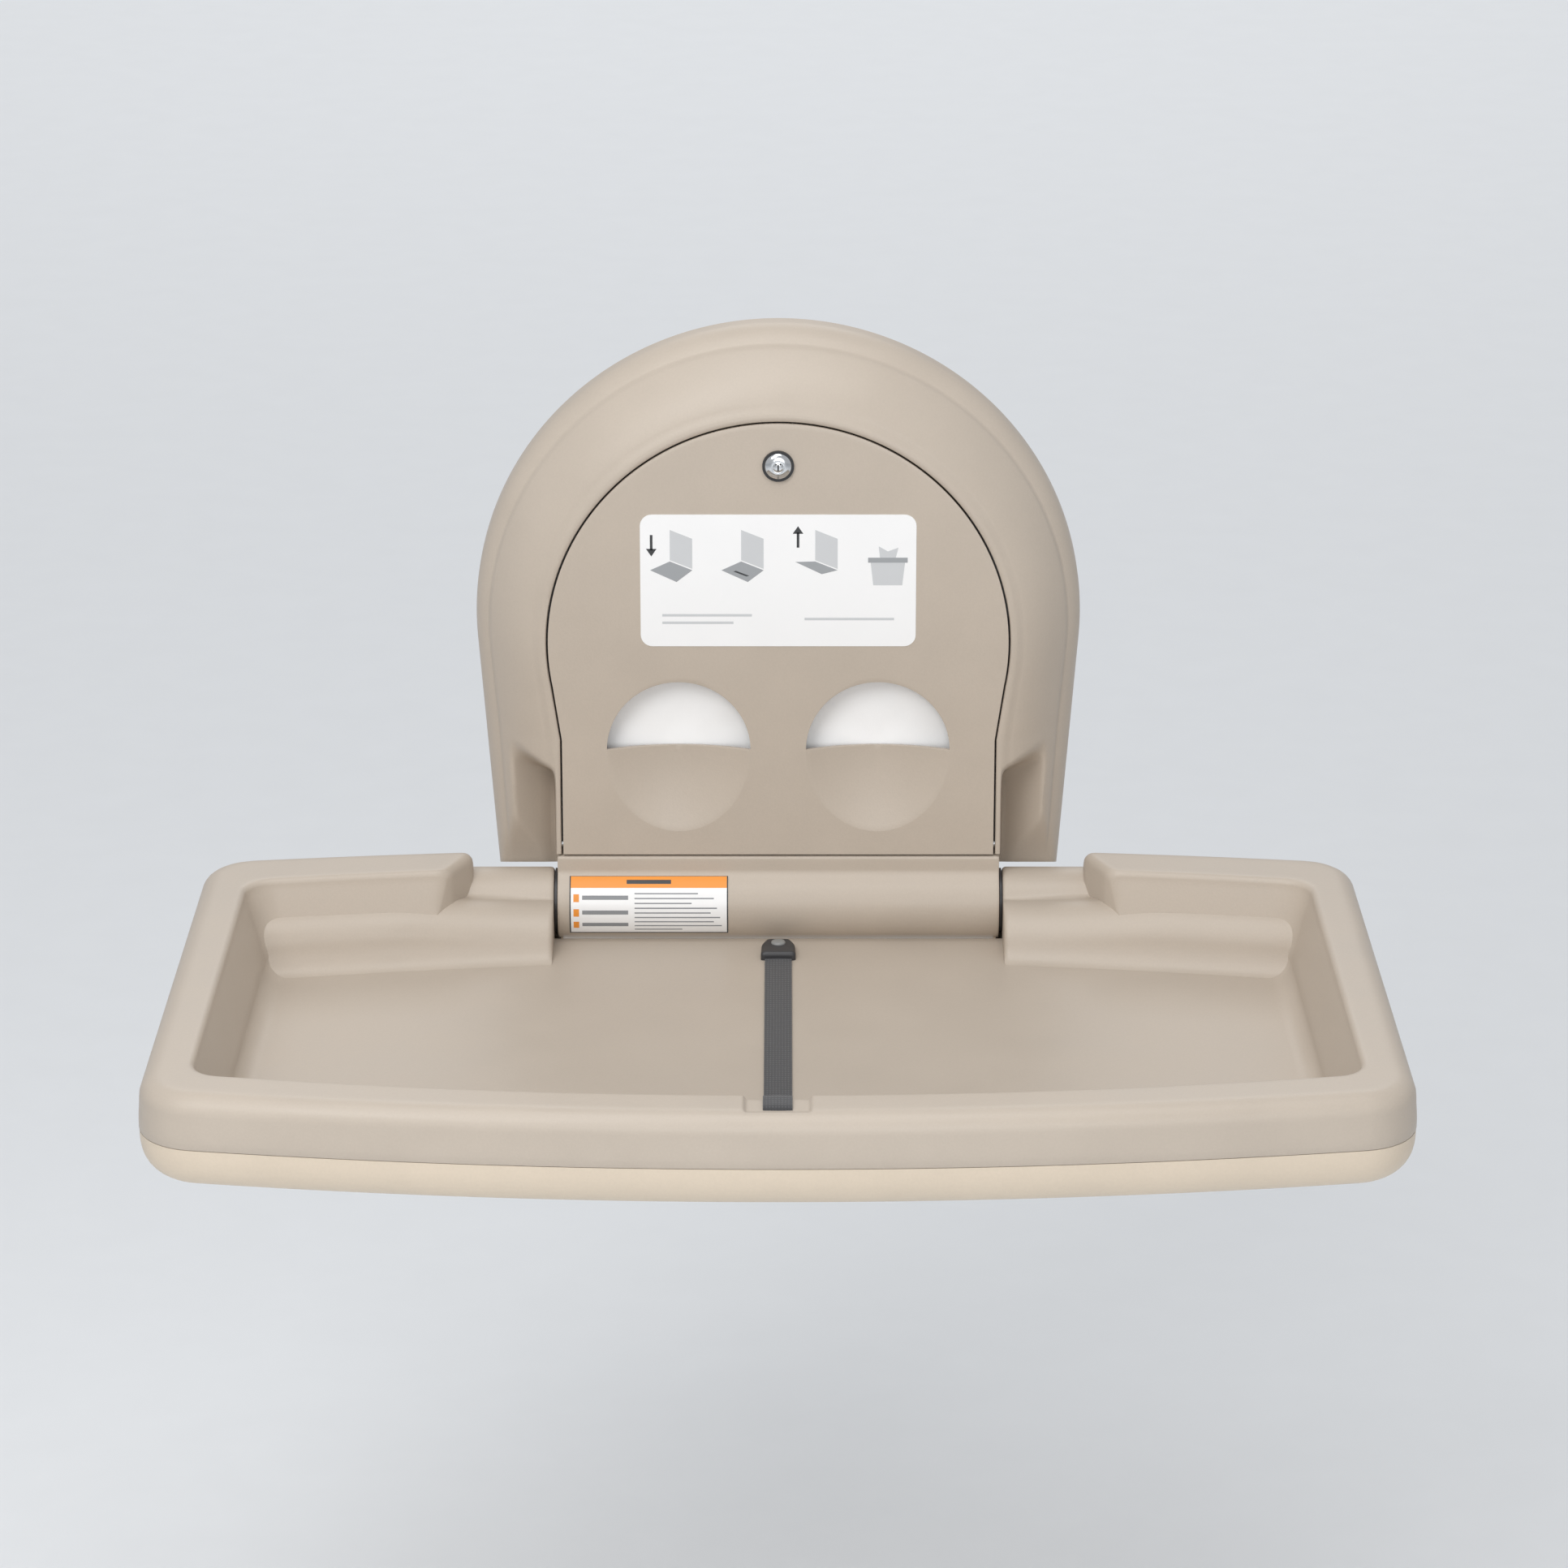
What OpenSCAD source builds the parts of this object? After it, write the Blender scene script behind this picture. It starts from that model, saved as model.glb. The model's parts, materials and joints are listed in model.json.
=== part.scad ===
// Fold-down changing table for a wall: a domed housing with a liner door, and a bed on a hinge.
// Frame: the wall is the plane Y = 0, the room is on the -Y side, X is along the wall, Z is up,
// and the origin is the middle of the steel back plate. The bed is drawn open, as it is used.
// Drawings below are made off the hinge axis: "out" is the way off the wall, "up" is above the axis.

/* [Housing] */
// Radius of the dome where it meets the wall
dome_r = 232; // [210:1:250]
// Height of the dome's centre above the hinge axis
dome_up = 221; // [200:1:235]
// Lean of the housing's straight sides towards the foot, in degrees
side_lean = 4.3; // [2:0.1:6]
// Height of the housing's foot above the hinge axis
foot_up = 12; // [10:1:20]
// How far the door face stands off the wall
door_out = 66; // [60:0.5:68]
// Wall thickness of the moulded housing
shell_t = 3; // [2:0.5:4]

/* [Door] */
// Radius of the door's round top
door_r = 175.3; // [160:0.5:178]
// Height of the round top's centre above the hinge axis
door_up = 214; // [205:1:225]
// Half width of the door's straight foot
door_half = 165.6; // [150:0.5:168]
// Height of the door's lower edge above the hinge axis
door_foot = 43.2; // [43:0.1:48]
// Gap all round the door
door_gap = 1.5; // [1:0.1:3]
// Thickness of the door panel
door_t = 4; // [3:0.5:5]
// Radius of each liner opening
slot_r = 55; // [40:1:57]
// Distance of each liner opening from the middle
slot_x = 76.2; // [70:0.1:80]
// Height of the lip of the liner openings above the hinge axis
slot_up = 129; // [120:1:140]
// Depth of the finger scoop under each opening
scoop_deep = 11; // [6:1:12]

/* [Hinge] */
// Distance of the hinge axis off the wall
hinge_out = 52; // [50:0.5:58]
// Height of the hinge axis, below the middle of the back plate
hinge_down = 230; // [220:1:240]
// Outer radius of the hinge cover
cover_r = 30; // [28:0.5:32]
// Half length of the hinge cover
cover_half = 170.3; // [160:0.1:175]
// Radius of the hinge shaft
shaft_r = 10; // [8:0.5:12]
// Running clearance of the shaft in its bushes, on the radius
bush_gap = 0.06; // [0.03:0.01:0.1]

/* [Bed] */
// Width of the bed over its front corners
bed_w = 899; // [800:1:1000]
// How far the open bed reaches past the hinge axis
bed_reach = 519.5; // [490:0.5:560]
// Height of the rim above the hinge axis
rim_up = 44; // [42:0.5:46]
// Depth of the tray from rim to floor
tray_deep = 68; // [60:1:72]
// Depth of the whole bed from rim to belly
bed_deep = 94; // [90:1:100]
// Height of the parting line between tray and lower shell, above the hinge axis
seam_up = 5; // [0:1:10]
// Wall thickness of the bed mouldings
bed_t = 3; // [2:0.5:4]
// Width of the strap
strap_w = 20.6; // [18:0.1:30]

/* [Hidden] */
$fn = 96;
grey_beige = "#b6a894";
cream = "#d9ccb8";
steel = "#a9abad";
far = 1000; // longer than anything here
snug = 0.02; // gap of a piece that is pressed or clamped on another
loose = 0.3; // gap between neighbours that must not touch

// ---- drawing planes -------------------------------------------------------------------------

// A drawing of (out, up) points, carried along X from x0 to x1
module section(x0, x1) {
    translate([x0, -hinge_out, -hinge_down])
        rotate([90, 0, 90])
            linear_extrude(x1 - x0)
                mirror([1, 0]) children();
}

// The same between |x| = x0 and x1, on the side s (1 right, -1 left)
module side_section(s, x0, x1) {
    section(s > 0 ? x0 : -x1, s > 0 ? x1 : -x0) children();
}

// A front view of (x, up) points, from out0 to out1 off the wall
module facing(out0, out1) {
    translate([0, -out0, -hinge_down])
        rotate([90, 0, 0])
            linear_extrude(out1 - out0) children();
}

// A plan of (x, out past the axis) points, from up0 to up1 above the axis
module plan(up0, up1) {
    translate([0, -hinge_out, up0 - hinge_down])
        linear_extrude(up1 - up0)
            mirror([0, 1]) children();
}

// A round bar along X, centred at (out, up), between x0 and x1
module bar(x0, x1, r, at = [0, 0]) {
    translate([x0, -hinge_out - at[0], -hinge_down + at[1]])
        rotate([0, 90, 0]) cylinder(r = r, h = x1 - x0);
}

// A round bar along Y, centred at (x, up), from out0 to out1 off the wall
module peg(out0, out1, r, at) {
    translate([at[0], -out0, at[1] - hinge_down])
        rotate([90, 0, 0]) cylinder(r = r, h = out1 - out0);
}

module both_sides() {
    children();
    mirror([1, 0, 0]) children();
}

function arc(c, r, a0, a1, n) = [for (i = [0:n]) let (a = a0 + (a1 - a0) * i / n) c + r * [cos(a), sin(a)]];

function mirrored(p) = [for (i = [len(p) - 1:-1:0]) [-p[i][0], p[i][1]]];

// The polygon of a line of points given a thickness t, half on each side
function thick(p, t) =
    let (n = len(p) - 1,
         d = [for (i = [0:n]) let (v = p[min(i + 1, n)] - p[max(i - 1, 0)]) v / norm(v)])
    concat([for (i = [0:n]) p[i] + t / 2 * [-d[i][1], d[i][0]]],
           [for (i = [n:-1:0]) p[i] - t / 2 * [-d[i][1], d[i][0]]]);

// A solid stretched over rings of equal point count, given from the top down as [(x, out) points, up]
module loft(rings) {
    n = len(rings[0][0]);
    m = len(rings);
    points = [for (ring = rings, p = ring[0]) [p[0], -hinge_out - p[1], ring[1] - hinge_down]];
    sides = [for (j = [0:m - 2], i = [0:n - 1]) let (k = (i + 1) % n, a = j * n, b = a + n)
             each [[a + k, a + i, b + i], [a + k, b + i, b + k]]];
    caps = [[for (i = [0:n - 1]) i], [for (i = [n - 1:-1:0]) (m - 1) * n + i]];
    polyhedron(points = points, faces = concat(sides, caps));
}

// ---- housing --------------------------------------------------------------------------------

// Cross-section of the dome's band, (radius, out): shoulder arc, slope, and a small roll at the door
shoulder_r = 26;
shoulder_turn = 48;
shoulder_c = [dome_r - shoulder_r, 10];
door_edge = door_r + door_gap;
band_flat = door_edge + 3;
band_skin = concat([[dome_r, 0]], arc(shoulder_c, shoulder_r, 0, shoulder_turn, 8),
                   [[door_edge + 8.5, door_out - 2.4], [band_flat, door_out]]);
foot_drop = dome_up - foot_up;
ledge_w = 6;   // how far the rebate reaches behind the door's edge
ledge_out = door_out - door_t - 5.5;
ledge_t = 3;

module band_solid() {
    polygon(concat(band_skin, [[door_edge, door_out], [door_edge - 12, door_out], [door_edge - 12, 0]]));
}

module band_wall() {
    difference() {
        polygon(concat(band_skin, [[door_edge, door_out], [door_edge, 0]]));
        offset(delta = -shell_t)
            polygon(concat([[dome_r, -9]], band_skin, [[door_edge, door_out], [door_edge, -9]]));
        translate([door_edge - 1, -1]) square([shell_t + 2, ledge_out + 2]);
    }
}

// A band cross-section swept round the dome and down both leaning sides to the foot
module swept_band() {
    difference() {
        translate([0, 0, dome_up - hinge_down]) {
            rotate([0, side_lean, 0])
                rotate([90, 0, 0])
                    rotate_extrude(angle = 180 + 2 * side_lean, $fn = 180) children();
            both_sides()
                rotate([0, side_lean, 0])
                    translate([0, 0, -foot_drop - 30])
                        linear_extrude(foot_drop + 30) mirror([0, 1]) children();
        }
        translate([-far / 2, -far / 2, foot_up - hinge_down - far]) cube(far);
    }
}

// The door's outline: round top, two slants and a straight foot
door_arc_end = 11; // degrees that the round top runs past its widest points
knee_up = door_foot + 93.3;
function door_outline() =
    let (right = concat([[door_half, door_foot], [door_half, knee_up]],
                        arc([0, door_up], door_r, -door_arc_end, 90, 40)))
    concat(right, mirrored(right));

// What the closing bed's hinge fairing takes up, with room to spare, as an (out, up) drawing
fairing_r = 26;
ramp_out = 62;
floor_up = rim_up - tray_deep;
fairing_start = cover_half + 2.9;
fairing_end = bed_w / 2 - 55.5;
swing_gap = 4;

// The fairing is round at the back and top, then runs straight down to the floor at ramp_out
ramp_turn = atan2(floor_up, ramp_out) + acos(fairing_r / norm([ramp_out, floor_up]));
function ramp_height(grow) =
    (fairing_r + grow - (ramp_out + grow) * cos(ramp_turn)) / sin(ramp_turn);

function ramp_line(r, up) = (r - up * sin(ramp_turn)) / cos(ramp_turn);

function fairing_points(grow) =
    concat([[ramp_out + grow, floor_up - bed_t - grow], [ramp_out + grow, ramp_height(grow)]],
           arc([0, 0], fairing_r + grow, ramp_turn, 270, 24));

module fairing_2d() {
    polygon(fairing_points(0));
}

// The hollow of the fairing, open below
module fairing_room_2d() {
    r = fairing_r - bed_t;
    polygon(concat([[-r, -40], [ramp_line(r, -40), -40]], arc([0, 0], r, ramp_turn, 180, 20)));
}

// Room that the folded-up fairing needs in the housing's lower corners, open to the front
module dent_2d(grow = 0) {
    g = swing_gap + grow;
    polygon(concat([[80, -fairing_r - g], [80, ramp_out + g], [-ramp_height(g), ramp_out + g]],
                   [for (p = arc([0, 0], fairing_r + g, ramp_turn, 180, 16)) [-p[1], p[0]]]));
}

module body_shell() color(grey_beige) {
    difference() {
        union() {
            swept_band() band_wall();
            both_sides() section(door_half + door_gap - 0.5, door_half + door_gap + shell_t)
                translate([4 - hinge_out, foot_up]) square([door_out - 4, knee_up - foot_up + 8]);
            facing(ledge_out, ledge_out + ledge_t)
                difference() {
                    offset(delta = door_gap + 1) polygon(door_outline());
                    offset(delta = -ledge_w) polygon(door_outline());
                    translate([-far / 2, 0]) square([far, door_foot + 20]);
                }
        }
        facing(ledge_out + ledge_t, door_out + 10) offset(delta = door_gap) polygon(door_outline());
        both_sides() section(door_half + door_gap + shell_t, dome_r) dent_2d();
        // Room for the hinge cover
        section(-cover_half - 1, cover_half + 1)
            translate([cover_back - 1, 0]) square([far, fascia_up + 1]);
        // Room for the foot of the door and its lugs, between the side walls
        section(-door_half - door_gap + 0.5, door_half + door_gap - 0.5)
            translate([ledge_out - 8 - hinge_out, foot_up]) square([far, door_foot + 20 - foot_up]);
        both_sides() bar(door_half - 1, door_half + 10, pivot_r + snug, pivot_at);
    }
    // Walls of the two dents, where the housing steps back for the fairings
    both_sides() intersection() {
        section(door_half + door_gap + shell_t, dome_r)
            difference() {
                dent_2d(shell_t);
                dent_2d();
            }
        swept_band() band_solid();
    }
}

// ---- chassis and hinge ----------------------------------------------------------------------

plate_t = 2.5;
plate_inset = 8;
stud_x = 203.2;
stud_rows = [70, 270];
stud_hole_r = 4.5;
ear_x = cover_half - 20.3;
ear_t = 5;
bush_wall = 3;
bush_r = shaft_r + bush_wall;

module mounting_chassis() color(steel) {
    plate_r = dome_r - plate_inset;
    plate_foot = plate_r - 15;
    plate_low = foot_up + 4;
    facing(0, plate_t)
        difference() {
            polygon(concat([[-plate_foot, plate_low], [plate_foot, plate_low]],
                           arc([0, dome_up], plate_r, 0, 180, 90)));
            for (x = [-stud_x, stud_x], up = stud_rows)
                translate([x, up]) circle(r = stud_hole_r, $fn = 32);
        }
    // Folded flange that stiffens the foot of the plate
    facing(plate_t, 14)
        translate([-ear_x + 24, plate_low]) square([2 * ear_x - 48, 2]);
}

module hinge_bracket(s) color(steel) {
    difference() {
        union() {
            side_section(s, ear_x, ear_x + ear_t)
                hull() {
                    circle(r = bush_r + 4);
                    translate([plate_t - hinge_out, 18]) square([0.1, 46]);
                }
            mirror([s > 0 ? 0 : 1, 0, 0]) facing(plate_t, plate_t + 3)
                translate([ear_x - 22, 18]) square([22, 46]);
        }
        bar(s * (ear_x + ear_t / 2) - ear_t, s * (ear_x + ear_t / 2) + ear_t, bush_r + snug);
    }
}

module bracket_bush(s) color("white") {
    difference() {
        bar(s > 0 ? ear_x : -ear_x - ear_t, s > 0 ? ear_x + ear_t : -ear_x, bush_r);
        bar(s * ear_x - 2 * ear_t, s * ear_x + 2 * ear_t, shaft_r + bush_gap);
    }
}

fascia_out = door_out - hinge_out;
fascia_up = door_foot - 1.6;
cover_back = -6;

module cover_2d() {
    circle(r = cover_r);
    translate([cover_back, 0]) square([fascia_out - cover_back, fascia_up]);
}

module hinge_cover() color(grey_beige) {
    section(-cover_half, cover_half)
        difference() {
            cover_2d();
            offset(delta = -shell_t) cover_2d();
            translate([cover_back - far, -far / 2]) square([far, far]);
            translate([cover_back - 1, shell_t]) square([fascia_out - shell_t - cover_back + 1, fascia_up]);
        }
    both_sides() difference() {
        section(cover_half - shell_t, cover_half)
            difference() {
                cover_2d();
                translate([cover_back - far, -far / 2]) square([far, far]);
                translate([cover_back - 1, cover_r - 2])
                    square([fascia_out - shell_t - cover_back + 1, far]);
            }
        bar(cover_half - 10, cover_half + 10, shaft_r + 1);
    }
}

label_t = 0.4;

// The label starts where the fascia ends and wraps the round of the cover
module caution_label() color("white") {
    top_turn = acos(fascia_out / cover_r) - 2;
    section(-cover_half + 9.3, -cover_half + 131.6)
        difference() {
            circle(r = cover_r + snug + label_t);
            circle(r = cover_r + snug);
            translate([-far, -far / 2]) square(far);
            polygon([[0, 0], far * [cos(top_turn), sin(top_turn)], [0, far], [-far, 0]]);
            polygon([[0, 0], far * [cos(-35), sin(-35)], [0, -far], [-far, 0]]);
        }
}

module hinge_shaft() color(steel) {
    difference() {
        bar(-shaft_half, shaft_half, shaft_r);
        bar(-far, far, shaft_r - 2.5);
    }
}

// Two washers on the shaft, which fill the gaps beside the hinge cover
module thrust_washers() color("#303030") {
    both_sides() difference() {
        bar(cover_half + 0.6, fairing_start - 0.6, cover_r - 5);
        bar(0, far, shaft_r + snug);
    }
}

// ---- gas damper: a cylinder on the chassis, and a slotted rod end driven by a crank ----------

crank_r = 28;
crank_pin_r = 4;
crank_turn = 135;          // where the crank stands with the bed open
yoke_play = 1.3;           // clearance of the pin in the slot, above and below
rod_out = -24;             // the rod's line, off the hinge axis
cyl_r = 9;
cyl_wall = 2;
cyl_foot = 75;
cyl_top = 250;
rod_r = 4;
piston_gap = 0.07;
yoke_half = 3;
cheek_gap = 2;
cheek_t = 4;
pin_up = crank_r * sin(crank_turn);
pin_out = crank_r * cos(crank_turn);

// A round bar along Z on the damper's line
module stem(up0, up1, r) {
    translate([0, -hinge_out - rod_out, up0 - hinge_down]) cylinder(r = r, h = up1 - up0);
}

module damper_cylinder() color("#303030") {
    difference() {
        stem(cyl_foot, cyl_top, cyl_r);
        stem(cyl_foot + 6, cyl_top - 5, cyl_r - cyl_wall);
        stem(cyl_foot - 1, cyl_foot + 10, rod_r + piston_gap);
    }
}

module damper_clamp() color(steel) {
    for (up = [110, 215])
        difference() {
            translate([-15, -hinge_out - rod_out - cyl_r - 4, up - hinge_down])
                cube([30, hinge_out + rod_out + cyl_r + 4 - plate_t - snug, 14]);
            stem(up - 1, up + 15, cyl_r + snug);
        }
}

module damper_rod() color("silver") {
    slot_back = -crank_r - crank_pin_r - 1;
    slot_front = pin_out + crank_pin_r + 1;
    slot_half = crank_pin_r + yoke_play;
    stem(pin_up + slot_half + 2, 200, rod_r);
    stem(188, 200, cyl_r - cyl_wall - piston_gap);
    section(-yoke_half, yoke_half)
        difference() {
            translate([slot_back - 4, pin_up - slot_half - 4])
                square([slot_front - slot_back + 8, 2 * slot_half + 8]);
            translate([slot_back, pin_up - slot_half]) square([slot_front - slot_back, 2 * slot_half]);
        }
}

module damper_crank() color(steel) {
    difference() {
        union() {
            both_sides() section(yoke_half + cheek_gap, yoke_half + cheek_gap + cheek_t)
                hull() {
                    circle(r = shaft_r + 5);
                    translate([pin_out, pin_up]) circle(r = crank_pin_r + 4);
                }
            bar(-yoke_half - cheek_gap - cheek_t, yoke_half + cheek_gap + cheek_t, crank_pin_r,
                [pin_out, pin_up]);
        }
        bar(-far, far, shaft_r + snug);
    }
}

// ---- liner dispensers -----------------------------------------------------------------------

box_in = 18;
box_side = ear_x - 0.6;
box_foot = door_foot + 4.8;
box_head = door_up + 22;
box_back = 6;
box_front = door_out - 9;
box_t = 1.6;
stack_back = 30;
stack_front = door_out - 15;
stack_gap = 0.6;
pusher_t = 3;

module box_2d(inset) {
    translate([box_in + inset, box_foot + inset])
        square([box_side - box_in - 2 * inset, box_head - box_foot - 2 * inset]);
}

module liner_box(s) color("#d8d8d4") mirror([s > 0 ? 0 : 1, 0, 0]) {
    difference() {
        facing(box_back, box_front) box_2d(0);
        facing(box_back + box_t, box_front + 1) box_2d(box_t);
    }
}

module liner_stack(s) color("white") mirror([s > 0 ? 0 : 1, 0, 0]) {
    facing(stack_back, stack_front) box_2d(box_t + stack_gap);
}

module liner_pusher(s) color("#c8c8c4") mirror([s > 0 ? 0 : 1, 0, 0]) {
    facing(stack_back - loose - pusher_t, stack_back - loose) box_2d(box_t + 1);
}

// ---- door -----------------------------------------------------------------------------------

pivot_at = [door_out - 6 - hinge_out, door_foot + 6.9];
pivot_r = 2.5;
pivot_gap = 0.06;
lug_in = door_half - 13.6;
lock_up = door_up + door_r - 32.8;
barrel_r = 9.5;
plug_r = 7;
plug_gap = 0.05;
// Ball that cuts the finger scoop: it meets the door face in a circle of scoop_rim
scoop_rim = 62;
scoop_rise = slot_up - 4;
scoop_ball = (scoop_rim * scoop_rim + scoop_deep * scoop_deep) / (2 * scoop_deep);

module scoop_ball(s, grow) {
    translate([s * slot_x, -door_out - scoop_ball + scoop_deep, scoop_rise - hinge_down])
        sphere(r = scoop_ball + grow, $fn = 180);
}

// Below the lip, inside the opening's width
module scoop_zone(s, grow) {
    facing(door_out - door_t - scoop_deep - 5, door_out)
        intersection() {
            translate([s * slot_x, slot_up]) circle(r = slot_r + 12);
            translate([s * slot_x - slot_r - grow, slot_up - 70 - grow])
                square([2 * (slot_r + grow), 70 + grow]);
        }
}

module door_panel() color(grey_beige) {
    difference() {
        union() {
            facing(door_out - door_t, door_out) polygon(door_outline());
            for (s = [-1, 1])
                intersection() {
                    scoop_ball(s, bed_t);
                    scoop_zone(s, 0);
                }
            both_sides() difference() {
                section(lug_in, door_half - 2)
                    hull() {
                        translate(pivot_at) circle(r = 5);
                        translate([pivot_at[0] + 1.9, pivot_at[1] - 5]) square([0.1, 16]);
                    }
            }
        }
        for (s = [-1, 1]) {
            facing(door_out - door_t - 1, door_out + 1)
                intersection() {
                    translate([s * slot_x, slot_up]) circle(r = slot_r);
                    translate([s * slot_x - slot_r, slot_up]) square([2 * slot_r, slot_r]);
                }
            intersection() {
                scoop_ball(s, 0);
                scoop_zone(s, 0);
            }
        }
        peg(door_out - door_t - 1, door_out + 1, barrel_r + 3 * snug, [0, lock_up]);
        both_sides() bar(lug_in - 1, door_half, pivot_r + pivot_gap, pivot_at);
    }
}

module door_pivots() color(steel) {
    both_sides() bar(lug_in - 0.5, door_half + door_gap + shell_t, pivot_r, pivot_at);
}

label_w = 209;
label_h = 105;
label_up = 265.6;

module instruction_label() color("white") {
    facing(door_out + snug, door_out + snug + label_t)
        translate([0, label_up])
            offset(r = 9) square([label_w - 18, label_h - 18], center = true);
}

module lock_housing() color("#303030") {
    difference() {
        union() {
            peg(door_out - 16, door_out + snug, barrel_r, [0, lock_up]);
            peg(door_out + snug, door_out + 2, 12, [0, lock_up]);
        }
        peg(door_out - 17, door_out + 3, plug_r + plug_gap, [0, lock_up]);
    }
}

module lock_nut() color(steel) {
    difference() {
        facing(door_out - door_t - 4 - snug, door_out - door_t - snug)
            translate([0, lock_up]) circle(r = 14, $fn = 6);
        peg(0, door_out, barrel_r + snug, [0, lock_up]);
    }
}

module lock_plug() color("silver") {
    difference() {
        union() {
            peg(door_out - 18, door_out + 2.1, plug_r, [0, lock_up]);
            peg(door_out + 2.1, door_out + 4, 10, [0, lock_up]);
        }
        facing(door_out + 2.5, door_out + 5)
            translate([-0.8, lock_up - 4]) square([1.6, 8]);
    }
}

cam_out = door_out - 20.5;
cam_t = 2.4;

module lock_cam() color(steel) {
    facing(cam_out, cam_out + cam_t)
        hull() {
            translate([0, lock_up]) circle(r = 8);
            translate([20, lock_up]) circle(r = 5);
        }
}

module lock_catch() color(steel) {
    catch_out = cam_out + cam_t + 1;
    catch_foot = lock_up + 17;
    catch_head = door_up + door_r - ledge_w + 4;
    facing(catch_out, catch_out + 2.5)
        translate([-14, catch_foot]) square([28, catch_head - catch_foot]);
    facing(catch_out + 2.5, ledge_out - snug)
        translate([-14, catch_head - 6]) square([28, 6]);
}

// ---- bed ------------------------------------------------------------------------------------

bed_half = bed_w / 2;
bed_back = -10.7;
shaft_half = fairing_start + 51.8;
belly_up = rim_up - bed_deep;
tub_front = 42;   // width of the rim at the middle of the front
tub_back = 49;    // width of the rim at the middle of the back
rim_side = 38;    // width of the rim at the sides
draft = 18;       // how much narrower the floor is than the mouth, on each side
bow = pow(bed_w / 899, 2); // keeps the front and back edges at one curvature

// Outline in plan, (x, out): bowed front and back edges, leaning sides and round corners.
// half0 and half1 are the half widths at back and front, out0 and out1 the edges on the middle line.
function bed_outline(half0, half1, out0, out1, bow0, bow1, r0, r1, n = 8) =
    let (s0 = atan(2 * bow0 / (half0 - r0)), s1 = atan(2 * bow1 / (half1 - r1)),
         x0 = half0 - r0 * (1 - sin(s0)), x1 = half1 - r1 * (1 - sin(s1)),
         c0 = [x0, out0 + bow0] + r0 * [-sin(s0), cos(s0)],
         c1 = [x1, out1 - bow1] + r1 * [-sin(s1), -cos(s1)],
         right = concat([for (i = [0:n]) [x0 * i / n, out0 + bow0 * pow(i / n, 2)]],
                        arc(c0, r0, s0 - 81, 0, n), arc(c1, r1, 0, 81 - s1, n),
                        [for (i = [n:-1:1]) [x1 * i / n, out1 - bow1 * pow(i / n, 2)]],
                        [[0, out1]]))
    concat(right, mirrored([for (i = [1:len(right) - 2]) right[i]]));

function outer(inset) =
    bed_outline(bed_half - 8 - inset, bed_half - inset, bed_back + inset, bed_reach - inset,
                27 * bow, 32 * bow, max(42 - inset, 14), max(46 - inset, 14));

function tub(inset) =
    bed_outline(bed_half - rim_side - 7 - inset, bed_half - rim_side - inset,
                bed_back + tub_back + inset * 0.9, bed_reach - tub_front - inset,
                31 * bow, 34 * bow, max(24 - inset / 4, 10), max(24 - inset / 4, 10));

// Rings of the tub, (inset, up), with a rolled foot; grow thickens it outwards for the skin
tub_rings = [[0, rim_up + 1], [0, rim_up - 2], [draft * 0.8, floor_up + 14], [draft, floor_up + 6],
             [draft + 6, floor_up]];

module tub_solid(grow, top = 0) {
    loft([for (ring = tub_rings)
          [tub(ring[0] - grow), ring[1] - (ring[1] < rim_up - 1 ? grow : top)]]);
}

// Rings of the lower shell, (inset, up), from the seam round to the belly
shell_rings = [[0, seam_up - 0.5], [0, seam_up - 11], [2, seam_up - 19], [8, seam_up - 29],
               [18, seam_up - 35], [90, belly_up + 10], [150, belly_up + 4], [215, belly_up]];

module belly_solid(inset, lift) {
    loft([for (ring = shell_rings) [outer(ring[0] + inset), ring[1] + lift]]);
}

horn_x = fairing_start + 62.8;
// The floor runs back until it just clears the round of the hinge cover
apron_out = sqrt(max(pow(cover_r + 1.6, 2) - pow(floor_up, 2), 100));

// The middle of the bed is open at the back, where the fixed hinge cover stands
module centre_cut() {
    section(-fairing_start, fairing_start)
        translate([-100, -100]) square([100 + apron_out, 200]);
}

module fairing_run() {
    both_sides() section(fairing_start, fairing_end) fairing_2d();
}

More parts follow.
